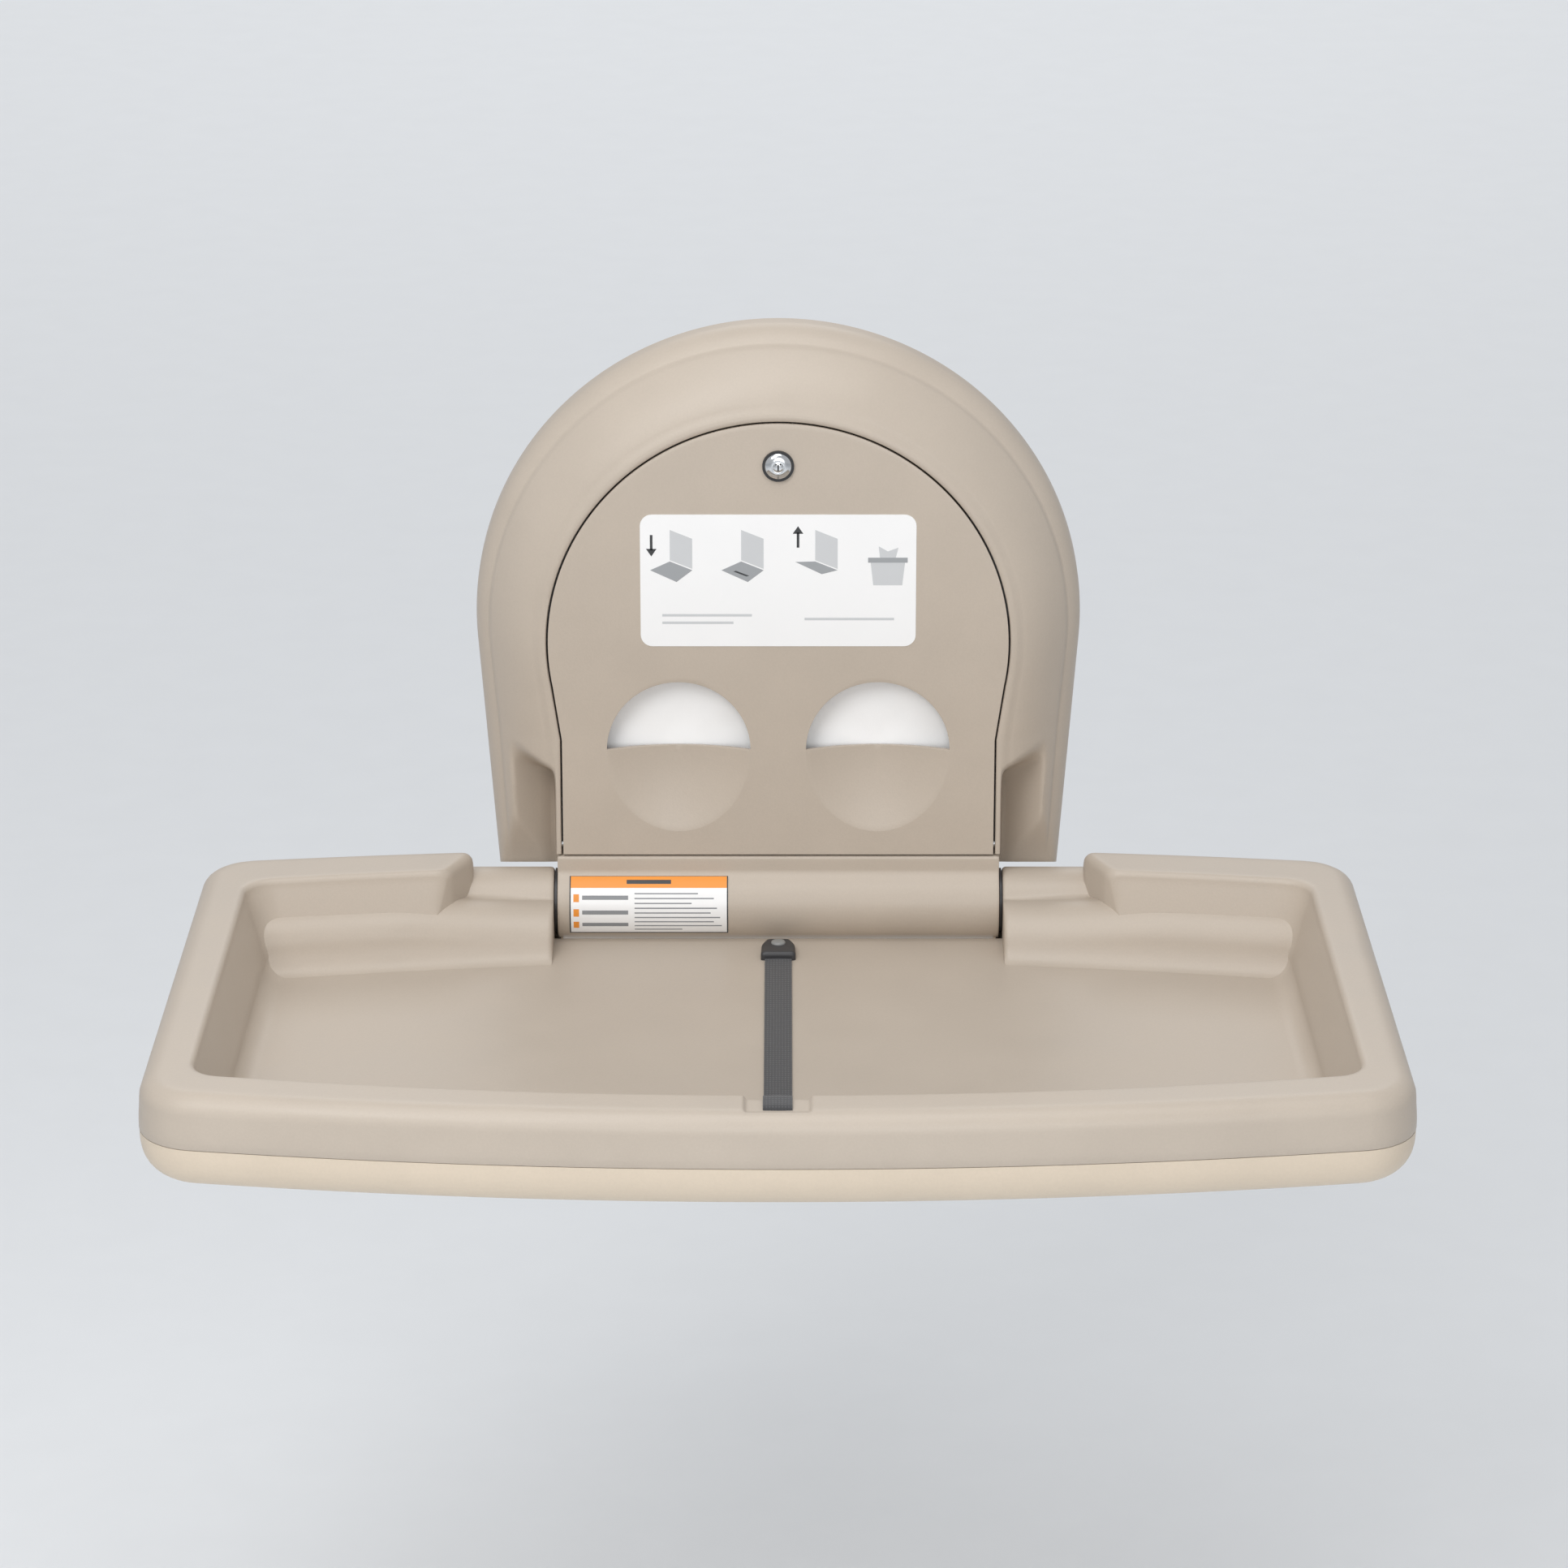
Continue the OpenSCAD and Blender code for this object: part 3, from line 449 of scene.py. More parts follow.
def webbing():
    """Woven polyester webbing: ribs of warp yarn across which a weft of 1.5 mm steps.

    It reads the strap's own UV map, which is in metres along and across the strap.
    """
    name = "woven_polyester_webbing"
    if name in bpy.data.materials:
        return bpy.data.materials[name]
    material = bpy.data.materials.new(name)
    material.use_nodes = True
    tree = material.node_tree
    tree.nodes.clear()
    colour = bpy.context.scene.table_colours.strap
    coords = add(tree, "ShaderNodeUVMap", {"uv_map": "UVMap"}).outputs[0]
    # Scale of a wave texture that repeats every 20 / scale; ribs of 2.2 mm, weft of 2.6 mm
    ribs = add(tree, "ShaderNodeTexWave",
               {"bands_direction": "X", "Scale": 142.0, "Distortion": 0.6}, {"Vector": coords})
    weft = add(tree, "ShaderNodeTexWave",
               {"bands_direction": "Y", "Scale": 120.0, "Distortion": 0.6}, {"Vector": coords})
    weave = add(tree, "ShaderNodeMath", {"operation": "MULTIPLY"},
                {0: ribs.outputs["Fac"], 1: weft.outputs["Fac"]})
    dark = add(tree, "ShaderNodeMapRange", {"To Min": 0.6, "To Max": 1.1},
               {"Value": weave.outputs[0]})
    tint = add(tree, "ShaderNodeVectorMath", {"operation": "SCALE", 0: colour[:3]},
               {"Scale": dark.outputs[0]})
    bump = add(tree, "ShaderNodeBump", {"Distance": 0.35 * MM, "Strength": 0.8},
               {"Height": weave.outputs[0]})
    shader = add(tree, "ShaderNodeBsdfPrincipled",
                 {"Roughness": 0.82, "Sheen Weight": 0.25, "Sheen Roughness": 0.5},
                 {"Base Color": tint.outputs[0], "Normal": bump.outputs[0]})
    add(tree, "ShaderNodeOutputMaterial", None, {"Surface": shader.outputs[0]})
    return material


FINISHES = {  # of each material slot in the record
    "housing_plastic": housing_plastic, "shell_plastic": shell_plastic, "nylon": nylon,
    "inner_plastic": inner_plastic, "zinc_steel": zinc_steel, "black_steel": black_lacquer_and_keyway_shade,
    "lock_chrome": bright_chrome, "buckle_plastic": buckle_plastic, "webbing": webbing,
    "button_plastic": button_plastic, "label_film": label_film, "liner_paper": liner_paper,
}


# ---- shapes shared by several pieces ------------------------------------------------------------


def door_line(grow, foot, counts=(70, 14, 80)):
    """The right half of the door's outline, moved out by grow, from its foot up to the crown.

    A straight side up to the knee, a slant, and a circle round the door's centre.
    """
    s = bpy.context.scene.table_sizes
    radius, centre = mm(s.door_radius) + grow, mm(s.door_centre)
    side, knee = mm(s.door_half) + grow, mm(s.door_foot) + KNEE
    start = arc((0, centre), radius, -11, 90, counts[2])
    straight = np.stack([np.full(counts[0], side), np.linspace(foot, knee, counts[0])], -1)
    slant = np.linspace(straight[-1], start[0], counts[1] + 2)[1:-1]
    return np.concatenate([straight, slant, start])


def bed_outline(half0, half1, past0, past1, bow0, bow1, r0, r1, horn=None, n=10):
    """Outline in plan as (x, past) points: parabolic back and front, leaning sides, arcs between.

    half0 and half1 are the half widths at back and front, past0 and past1 the edges on the middle
    line. With a horn, two columns stand at that x, the inner one marked 2, those inside it 1.
    """
    s0, s1 = atan2(2 * bow0, half0 - r0), atan2(2 * bow1, half1 - r1)
    x0, x1 = half0 - r0 * (1 - sin(s0)), half1 - r1 * (1 - sin(s1))
    c0 = (x0 - r0 * sin(s0), past0 + bow0 + r0 * cos(s0))
    c1 = (x1 - r1 * sin(s1), past1 - bow1 - r1 * cos(s1))
    horn = horn or HORN
    near = horn + np.array([0, 0.5, 1.3, 2.5, 4, 6, 8.5])
    xb = np.concatenate([np.linspace(0, horn, 25), near, np.linspace(horn + 12, x0, 3 * n)])
    back = np.stack([xb, past0 + bow0 * (xb / x0) ** 2], -1)
    mark = np.zeros(len(xb), int)
    mark[:24] = 1
    mark[24] = 2
    corner0 = arc(c0, r0, degrees(s0) - 81, 0, n)[1:]
    corner1 = arc(c1, r1, 0, 81 - degrees(s1), n)
    side = np.linspace(corner0[-1], corner1[0], 32)[1:-1]
    notch = np.array([30, 26, 24.5, 23.5, 22.5, 21.5, 20, 15, 10, 5, 0.0])
    xf = np.concatenate([np.linspace(x1, 30, 36)[:-1], notch])
    front = np.stack([xf, past1 - bow1 * (xf / x1) ** 2], -1)
    right = np.concatenate([back, corner0, side, corner1, front])
    mark = np.concatenate([mark, np.zeros(len(right) - len(mark), int)])
    left = right[1:-1][::-1] * [-1, 1]
    return np.concatenate([right, left]), np.concatenate([mark, mark[1:-1][::-1]])


def outer_ring(inset, horn=HORN):
    """The bed's outer outline, moved in by inset."""
    s = bpy.context.scene.table_sizes
    half, reach = mm(s.bed_width) / 2, mm(s.bed_reach)
    return bed_outline(half - 8 - inset, half - inset, -10.7 + inset, reach - inset, 27, 32,
                       max(42 - inset, 14), max(46 - inset, 14), horn)


def tub_ring(inset, horn=None):
    """The outline of the tray's mouth, moved in by inset; the horn's end leans outward with it."""
    s = bpy.context.scene.table_sizes
    half, reach = mm(s.bed_width) / 2, mm(s.bed_reach)
    return bed_outline(half - 45 - inset, half - 38 - inset, 38.3 + inset * 0.9,
                       reach - 42 - inset, 31, 34, max(24 - inset / 4, 10),
                       max(24 - inset / 4, 10), horn or min(247 + 0.8 * (inset + 9), 262))


# ---- pieces -------------------------------------------------------------------------------------


def housing_outlines(s):
    """The door's outline, and the points on the housing's wall outline that belong to its points.

    Up the straight side they go level with each other; round the top they go by equal shares.
    """
    foot = mm(s.housing_foot)
    inner = door_line(mm(s.door_gap), foot, (84, 16, 84))
    lean = radians(4.3)
    radius, centre = mm(s.dome_radius), mm(s.dome_centre)
    touch = np.array([radius * cos(lean), centre - radius * sin(lean)])
    low = np.array([touch[0] - (touch[1] - foot) * np.tan(lean), foot])
    wall = np.concatenate([np.linspace(low, touch, 200)[:-1],
                           arc((0, centre), radius, -4.3, 90, 400)])
    run = np.concatenate([[0], np.cumsum(np.linalg.norm(np.diff(wall, axis=0), axis=1))])
    at = (inner[:, 1] - foot) / cos(lean)
    start = at[100]
    at = np.concatenate([at[:100], start + (run[-1] - start) * np.linspace(0, 1, 84)])
    return inner, np.stack([np.interp(at, run, wall[:, k]) for k in (0, 1)], -1)


def housing_profile(front):
    """Lip in the door gap, a flat, the long crowned slope, the shoulder and the foot."""
    slope = np.stack([np.linspace(9.5, 44, 22), np.linspace(63.2, 33.5, 22)], -1)
    slope[:, 1] += 5.0 * np.sin(np.linspace(0, pi, 22)) ** 0.8
    crown = np.concatenate([[[0, 65.2], [0.7, 66], [3.2, 66], [5, 65.7], [7, 64.8]], slope,
                            arc((29.2, 10), 26, 54, 0, 14)])
    crown[:, 1] += front - 66
    near = np.array([3.4, 3.8, 4.3, 4.9, 5.6, 6.4])
    near = np.stack([near, np.interp(near, crown[:, 0], crown[:, 1])], -1)
    return np.concatenate([[[0, front - 8.5], [0, front - 5]], crown[:3], near, crown[4:],
                           [[FLANK, 5], [FLANK, 0]]])


def housing_relief(x, up, out, foot):
    """Heights and distances off the wall after the flank is sunk and the pockets are dished."""
    # The flank sinks towards the foot, which leaves room for the fairings of the folded bed
    sunk = soft_minimum(out, 21.5 + 62 * smoothstep(10, 150, up), 3.0)
    out = np.where((x > 171.5) & (out > 6), np.minimum(out, np.maximum(sunk, 5)), out)
    # Pocket beside the door: under a slanting roof the surface falls towards the door's side
    roof = 103 + 0.6 * (x - 172)
    depth = smoothstep(170.6, 174.4, x) * (1 - smoothstep(roof - 13, roof + 11, up))
    low = soft_minimum(out, 14 + 0.85 * (x - 171), 1.5)
    out = out * (1 - depth) + np.minimum(out, low) * depth
    # The foot slopes back, and beside the hinge cover it stays behind the door
    up = np.where(x > 171.5, np.maximum(up, foot + 0.37 * np.clip(out, 0, 24)), up)
    return up, np.where((x < 173) & (up < 43.2), np.minimum(out, 44.5), out)


class TABLE_OT_housing(bpy.types.Operator):
    """Moulded housing: a band lofted from the door's outline out to the wall"""

    bl_idname = "table.housing"
    bl_label = "Housing"

    def execute(self, context):
        """Each point is I + w (O - I), I on the door's outline and O on the wall outline.

        The profile gives w and the distance off the wall. Below, the distance is eased down to a
        pocket beside the door, and never stands above the path of the bed's fairings.
        """
        s = context.scene.table_sizes
        inner, outer = housing_outlines(s)
        profile = housing_profile(mm(s.door_stand))
        w = profile[:, 0] / FLANK
        flat = inner[None] + w[:, None, None] * (outer - inner)[None]
        x, up = flat[..., 0], flat[..., 1]
        up, out = housing_relief(x, up, np.repeat(profile[:, 1:], len(inner), 1),
                                 mm(s.housing_foot))
        points = np.concatenate([np.stack([x, out, up], -1),
                                 np.stack([-x, out, up], -1)[:, ::-1][:, 1:]], 1)
        rows, cols = points.shape[:2]
        points = points.reshape(-1, 3)
        points = place(points[:, 0], points[:, 1] - HINGE_OUT, points[:, 2])
        make("housing", points, grid_faces(rows, cols), "root", "housing_plastic", ["body_shell"],
             wall=2.6, front=(0, -1, 0.15), sharp=48)
        return {"FINISHED"}


def door_edge(s):
    """Outline of the right half panel, from the middle of its foot round and back down."""
    foot, lip = mm(s.door_foot), mm(s.opening_lip)
    side = door_line(0, foot, (2, 12, 70))
    crown = side[-1]
    return np.concatenate([
        np.linspace([0, foot], [side[0, 0], foot], 48)[:-1],
        np.linspace([side[0, 0], foot], [side[0, 0], lip], 30)[:-1],
        np.linspace([side[0, 0], lip], side[1], 6)[:-1],
        side[1:-1],
        np.linspace(crown, [0, lip], 60)[:-1],
        np.linspace([0, lip], [0, foot], 30)[:-1],
    ])


class TABLE_OT_door(bpy.types.Operator):
    """Liner door: a flat panel with two half-round openings over dished finger scoops"""

    bl_idname = "table.door"
    bl_label = "Door"

    def execute(self, context):
        """Straight lines lead from each opening's edge to the half panel's edge.

        The scoop's depth is D (1 - q squared), q being the share of the way from the lip's middle
        to the half ellipse that bounds it.
        """
        s = context.scene.table_sizes
        front = mm(s.door_stand)
        centre = np.array([mm(s.opening_place), mm(s.opening_lip)])
        hole, deep = mm(s.opening_radius), mm(s.scoop_depth)
        edge = door_edge(s)
        ray = edge - centre
        turn = np.arctan2(ray[:, 1], ray[:, 0])
        low = ray[:, 1] < 1e-6
        flat = 1 / np.hypot(np.cos(turn) / hole, np.sin(turn) / (hole * 66.5 / 55))
        reach = np.where(low, flat, hole)
        near = centre + np.stack([np.cos(turn), np.sin(turn)], -1) * reach[:, None]
        share = np.array([0, 0.02, 0.06, 0.15, 0.3, 0.5, 0.7, 0.85, 0.94, 0.98, 1.0])
        panel = near[None] + share[:, None, None] * (edge - near)[None]
        dish = np.linspace(1, 0, 16)
        below = np.flatnonzero(low)
        # The lower points in order from the left end of the lip round to the right end
        order = below[np.argsort(np.unwrap(np.where(turn[below] > 1, turn[below] - 2 * pi,
                                                    turn[below])))]
        bowl = centre + dish[:, None, None] * (near[order] - centre)[None]
        sunk = deep * (1 - dish[:, None] ** 2) + 0 * bowl[..., 0]
        halves = []
        for sign in (1, -1):
            for shape, back, closed in ((panel, 0, True), (bowl, sunk, False)):
                points = place(sign * shape[..., 0], front - HINGE_OUT - back,
                               shape[..., 1]).reshape(-1, 3)
                faces = grid_faces(*shape.shape[:2], closed=closed)
                halves.append((points, facing(points, faces, (0, -1, 0))))
        points, faces = joined(halves)
        make("door_skin", points, faces, "door", "housing_plastic", ["door_panel"], wall=2.8,
             bevel=0.7, front=(0, -1, 0), sharp=48)
        return {"FINISHED"}


class TABLE_OT_door_labels(bpy.types.Operator):
    """Instruction label with generic pictograms, printed film on the door"""

    bl_idname = "table.door_labels"
    bl_label = "Instruction label"

    def execute(self, context):
        """Film and inks are thin plates: outlines in the door's plane given a thickness."""
        front = mm(context.scene.table_sizes.door_stand)
        film = slab(rounded_box(209, 105, 9, 0, 265.6), front + 0.03, front + 0.42)
        make("instruction_film", *film, "door", "label_film", ["instruction_label"])
        pale, mid, dark = [], [], []

        def board(x, up, lift, items):
            """An open table seen from one side: a back board, and a bed turned by lift."""
            back = [[x + 2, up - 2], [x + 19, up - 9], [x + 19, up + 15], [x + 2, up + 22]]
            items[0].append(back)
            drop = 14 * (1 - lift)
            bed = [[x + 2, up - 3], [x + 19, up - 10], [x + 7, up - 18 + 10 * lift - drop * 0.1],
                   [x - 13, up - 10 + 12 * lift]]
            items[1].append(bed)
            items[2].append(np.array(bed) * 0.72 + np.mean(bed, 0) * 0.28)

        def arrow(x, up, way):
            """A short shaft with a point, turned up or down."""
            dark.append([[x - 1, up - 6], [x + 1, up - 6], [x + 1, up + 6], [x - 1, up + 6]])
            dark.append([[x - 4, up + 5 * way], [x, up + 11 * way], [x + 4, up + 5 * way]])

        board(-84, 284, 0.0, (pale, mid, pale))
        board(-30, 284, 0.0, (pale, mid, pale))
        board(26, 284, 0.55, (pale, mid, pale))
        arrow(-96, 296, -1)
        arrow(15, 298, 1)
        dark.append([[-34, 273], [-32, 273.6], [-22, 269.6], [-24, 269]])
        # A bin with a liner over it
        pale.append([[72, 262], [94, 262], [96, 280], [70, 280]])
        mid.append([[68, 280], [98, 280], [98, 284], [68, 284]])
        pale.append([[77, 284], [89, 284], [91, 292], [83, 289], [76, 293]])
        # Plain rules under the drawings, in place of words
        for row, (x0, x1) in enumerate(((-88, -20), (-88, -34), (20, 88))):
            up = (237, 231, 234)[row]
            pale.append([[x0, up], [x1, up], [x1, up + 2], [x0, up + 2]])
        for name, shade, items, lift in (("pale", "#C9CBCD", pale, 0.47),
                                         ("mid", "#9DA0A3", mid, 0.50),
                                         ("dark", "#3C3E40", dark, 0.53)):
            parts = joined([slab(i, front + 0.43, front + lift) for i in items])
            make("instruction_ink_" + name, *parts, "door", "label_film",
                 material=ink(name, shade))
        return {"FINISHED"}


class TABLE_OT_lock(bpy.types.Operator):
    """Domed chrome face of the door lock with its key plug, and the plug's barrel"""

    bl_idname = "table.lock"
    bl_label = "Lock"

    def execute(self, context):
        """Profiles of (radius, off the wall) turned round the lock's line."""
        s = context.scene.table_sizes
        f, up = mm(s.door_stand), mm(s.door_centre) + mm(s.door_radius) - 32.8
        dome = softened([[0, f + 4.9], [1.5, f + 4.88], [3, f + 4.75], [3.7, f + 4.6],
                         [3.9, f + 4.2], [4.2, f + 4.2], [4.4, f + 4.6], [6, f + 4.35],
                         [7.5, f + 3.95], [8.8, f + 3.4], [9.7, f + 2.7], [10, f + 2.2]], 1)
        dome = np.concatenate([dome, [[9.6, f + 2.05], [7, f + 2.05], [7, f - 18], [0, f - 18]]])
        make("lock_face", *turned(dome, 0, up), "lock", "lock_chrome", ["lock_plug"], sharp=60)
        # The keyway is painted shade: a black plate stands on the chrome dome where the slot's
        # depth would look dark, with two black dots beside it.
        slot = slab([[-0.55, up - 2.6], [0.55, up - 2.6], [0.55, up + 2.6], [-0.55, up + 2.6]],
                    f + 3.5, f + 4.93)
        dots = [slab(arc((x, up + 2.4), 0.7, 0, 330, 12), f + 3.5, f + 4.9) for x in (-1.6, 1.6)]
        make("lock_keyway", *joined([slot, *dots]), "lock", "lock_chrome",
             material=black_lacquer_and_keyway_shade())
        return {"FINISHED"}


class TABLE_OT_hinge_cover(bpy.types.Operator):
    """Fixed cover over the hinge: flat fascia above, round below"""

    bl_idname = "table.hinge_cover"
    bl_label = "Hinge cover"

    def execute(self, context):
        """A cross-section carried along X, drawn in by the rounding of its two ends."""
        s = context.scene.table_sizes
        radius, half = mm(s.cover_radius), mm(s.cover_half)
        face, top = mm(s.door_stand) - HINGE_OUT, mm(s.door_foot) - 1.6
        meet = degrees(acos(face / radius))
        line = np.concatenate([
            [[-6, top - 0.2], [-2, top], [face - 3, top]], arc((face - 2.5, top - 2.5), 2.5, 80,
                                                                0, 6),
            np.linspace([face, top - 5], [face, radius * sin(radians(meet)) + 1.2], 8),
            arc((0, 0), radius, meet - 4, -101.5, 44)])
        line = np.concatenate([line[:9], softened(line[8:22], 2)[1:], line[22:]])
        middle = np.array([-5.9, 4.0])
        bend = np.linspace(0, pi / 2, 6)
        rows = [(-half, 0.0)] + [(-half + 2.2 * (1 - cos(b)), 1 - (1 - sin(b)) * 0.02)
                                 for b in bend]
        right = [(-x, g) for x, g in rows[::-1]]
        mid = [(x, 1.0) for x in np.linspace(-half + 6, half - 6, 30)]
        points = [place(x, *(middle + g * (line - middle)).T) for x, g in rows + mid + right]
        points = np.concatenate(points)
        make("hinge_cover_skin", points, grid_faces(len(rows + mid + right), len(line)), "root",
             "housing_plastic", ["hinge_cover"], wall=2.4, front=(0, -1, 0.2), sharp=50)
        return {"FINISHED"}


class TABLE_OT_notice(bpy.types.Operator):
    """Generic notice label wrapped on the hinge cover: a coloured band and plain rules"""

    bl_idname = "table.notice"
    bl_label = "Notice label"

    def execute(self, context):
        """Each patch spans x and an angle on the cover's cylinder, a little outside it."""
        s = context.scene.table_sizes
        radius, left = mm(s.cover_radius), -mm(s.cover_half) + 9.3
        top = degrees(acos((mm(s.door_stand) - HINGE_OUT) / radius)) - 2
        width, turn = 122.3, top + 35

        def patch(x0, x1, y0, y1, lift):
            """A closed plate from x0 to x1 along, y0 to y1 of the way down, 0.05 mm thick."""
            a = np.radians(top - np.linspace(y0, y1, 24) * turn)
            rows = []
            for r, xs in ((radius + lift - 0.05, (x0, x1)), (radius + lift, (x1, x0))):
                rows += [place(left + x * width, r * np.cos(a), r * np.sin(a)) for x in xs]
            rows.append(rows[0])
            points = np.concatenate(rows)
            faces = grid_faces(5, 24)
            ends = np.array([[0, 24, 48, 72], [23, 47, 71, 95]])
            return points, np.concatenate([faces, ends[:1], ends[1:, ::-1]])

        film = patch(0, 1, 0, 1, 0.36)
        make("notice_film", *film, "root", "label_film", ["caution_label"])
        band = patch(0.008, 0.992, 0.02, 0.22, 0.42)
        orange = surface("printed_ink_orange", context.scene.table_colours.notice, 0.4, 4.0,
                         0.004)
        make("notice_band", *band, "root", "label_film", material=orange)
        frame_lines = [patch(0, 1, 0, 0.02, 0.43), patch(0, 1, 0.98, 1, 0.43),
                       patch(0, 0.008, 0, 1, 0.43), patch(0.992, 1, 0, 1, 0.43),
                       patch(0.36, 0.64, 0.085, 0.155, 0.47)]
        make("notice_frame", *joined(frame_lines), "root", "label_film",
             material=ink("dark", "#3C3E40"))
        squares = [patch(0.025, 0.06, y, y + 0.12, 0.42) for y in (0.32, 0.55, 0.76)]
        make("notice_marks", *joined(squares), "root", "label_film", material=orange)
        rules = [patch(0.08, 0.37, y + 0.02, y + 0.085, 0.42) for y in (0.32, 0.55, 0.76)]
        rules += [patch(0.41, 0.41 + w, y, y + 0.02, 0.42)
                  for y, w in zip(np.linspace(0.3, 0.9, 9),
                                  (0.4, 0.5, 0.36, 0.52, 0.48, 0.54, 0.5, 0.55, 0.3))]
        make("notice_rules", *joined(rules), "root", "label_film", material=ink("grey", "#8B8E91"))
        return {"FINISHED"}


def tray_rings(s):
    """Rings of the tray from the seam to the middle of its floor, as (outline, height).

    Also gives the number of rings before the well's wall.
    """
    rim, floor, seam = mm(s.rim_height), mm(s.rim_height - s.tray_depth), mm(s.seam_height)
    rings = [(outer_ring(i), z) for i, z in ((0.4, seam - 0.3), (0, seam + 0.6), (0, 12),
                                             (0.3, 18), (0.8, 24))]
    roll = np.linspace(0, pi / 2, 9)
    rings += [(outer_ring(1 + RIM_ROLL * (1 - cos(a))), rim - RIM_ROLL + RIM_ROLL * sin(a))
              for a in roll]
    edge, mouth = outer_ring(RIM_ROLL + 1.5), tub_ring(-MOUTH_ROLL)
    for t in (0.12, 0.3, 0.5, 0.7, 0.88):
        rings.append(((edge[0] * (1 - t) + mouth[0] * t, edge[1]), rim))
    rings += [(tub_ring(-MOUTH_ROLL + MOUTH_ROLL * sin(a)),
               rim - MOUTH_ROLL + MOUTH_ROLL * cos(a)) for a in roll]
    first = len(rings)
    rings += [(tub_ring(WELL_DRAFT * t),
               rim - MOUTH_ROLL + (floor + FLOOR_ROUND - rim + MOUTH_ROLL) * t)
              for t in np.linspace(0.1, 1, 7)]
    rings += [(tub_ring(WELL_DRAFT + FLOOR_ROUND * (1 - cos(a))),
               floor + FLOOR_ROUND - FLOOR_ROUND * sin(a))
              for a in np.linspace(0.1, pi / 2, 12)]
    last = tub_ring(30)
    hub = np.array(BED_HUB)
    rings.append((last, floor))
    rings += [((hub + (last[0] - hub) * t, last[1]), floor)
              for t in (0.85, 0.65, 0.45, 0.25, 0.1, 0.0)]
    return rings, first


class TABLE_OT_tray(bpy.types.Operator):
    """Bed tray: rolled rim, drafted well, horns at the back and the strap's notch"""

    bl_idname = "table.tray"
    bl_label = "Bed tray"

    def execute(self, context):
        """Rings of the bed's outlines at chosen heights, from the seam over the rim to the floor.

        Behind, between the horns, the rim is left out: the floor runs back there, and each horn
        ends in an upright face.
        """
        s = context.scene.table_sizes
        rim, floor = mm(s.rim_height), mm(s.rim_height - s.tray_depth)
        rings, first = tray_rings(s)
        flat = np.stack([r[0][0] for r in rings])
        mark = rings[0][0][1]
        up = np.repeat(np.array([r[1] for r in rings], float)[:, None], len(mark), 1)
        row = np.arange(len(rings))[:, None]
        base = len(rings) - 7
        # Floor behind the mouth, between the horns
        inside = (mark == 1)[None] & (row < base)
        share = np.clip((row - first) / (base - first), 0, 1)
        back = COVER_EDGE + (flat[base, :, 1][None] - COVER_EDGE) * share
        flat[..., 1] = np.where(inside, back, flat[..., 1])
        flat[..., 0] = np.where(inside, flat[base, :, 0][None], flat[..., 0])
        up = np.where(inside, floor, up)
        up = np.where((mark == 2)[None] & (row < base), np.where(row < first, 2.0, floor), up)
        # The horn's end is rounded over: the height falls by a quarter circle beside it
        gap = np.clip(np.abs(flat[..., 0]) - flat[:, 25:26, 0], 0, 8) / 8
        rear = (flat[..., 1] < 120) & (mark == 0)[None] & (row < first + 3)
        up = up - np.where(rear, 8 * (1 - np.sqrt(gap * (2 - gap))), 0)
        # Notch of the strap in the front rim
        dip = (smoothstep(24.6, 21.4, np.abs(flat[..., 0])) * smoothstep(466, 472, flat[..., 1])
               * smoothstep(508, 504.5, flat[..., 1]) * smoothstep(rim - 9, rim - 3, up))
        up = up - NOTCH_DEPTH * dip
        drop = ((mark == 1) | (np.roll(mark, -1) == 1))[None] & (row[:-1] < first)
        points = place(flat[..., 0], flat[..., 1], up).reshape(-1, 3)
        faces = grid_faces(len(rings), len(mark), closed=True, keep=~drop)
        make("tray_skin", points, faces, "bed", "housing_plastic", ["bed_tray"], wall=2.6,
             front=(0, 0, 1), sharp=48)
        return {"FINISHED"}


class TABLE_OT_fairings(bpy.types.Operator):
    """Round fairings over the bed's hinge, which run down to the tray's floor as ramps"""

    bl_idname = "table.fairings"
    bl_label = "Hinge fairings"

    def execute(self, context):
        """A circle round the hinge axis, and before it a lower swell that flares to the floor.

        The swell's middle moves outward with the square of x, as the tray's back wall does. Each
        cross-section is resampled evenly and eased, which rounds the valley between the two.
        """
        s = context.scene.table_sizes
        floor = mm(s.rim_height - s.tray_depth)
        start, stop = mm(s.cover_half) + 2.9, mm(s.bed_width) / 2 - 46
        bend = np.linspace(0, pi / 2, 7)
        x = np.concatenate([[start], start + 3.5 * (1 - np.cos(bend)),
                            np.linspace(start + 5, stop, 48), [stop]])
        draw = np.concatenate([[0.0], 1 - 0.085 * (1 - np.sin(bend)), np.ones(48), [0.0]])
        rows = []
        for k in (x / 381) ** 2:
            middle = np.array([27 + 34 * k, floor + 5 + 8.5 * smoothstep(0.2, 0.62, k)])
            swell = arc(middle, SWELL_RADIUS, 110, 18, 24)
            t = np.linspace(0, 1, 14)[1:, None]
            foot = middle[0] + np.array([32, 44])
            flare = (swell[-1] * (1 - t) ** 2 + 2 * np.array([foot[0], floor + 0.5]) * t * (1 - t)
                     + np.array([foot[1], floor - 0.6]) * t**2)
            rows.append(softened(spaced(np.concatenate([
                arc((0, 0), FAIRING_RADIUS, 195, 28, 24), swell, flare]), 96), 4))
        low = np.array([[20, floor - 2.2], [-12, -14], [-22, -12]])
        line = np.stack([np.concatenate([r, low]) for r in rows])
        hub = np.array([8.0, -8.0])
        line = hub + draw[:, None, None] * (line - hub)
        parts = []
        for sign in (1, -1):
            points = place(sign * x[:, None], line[..., 0], line[..., 1]).reshape(-1, 3)
            faces = grid_faces(*line.shape[:2], closed=True)
            parts.append((points, faces if sign > 0 else faces[:, ::-1]))
        for name, part in zip(("right", "left"), parts):
            make("fairing_" + name, *part, "bed", "housing_plastic", sharp=40)
        return {"FINISHED"}


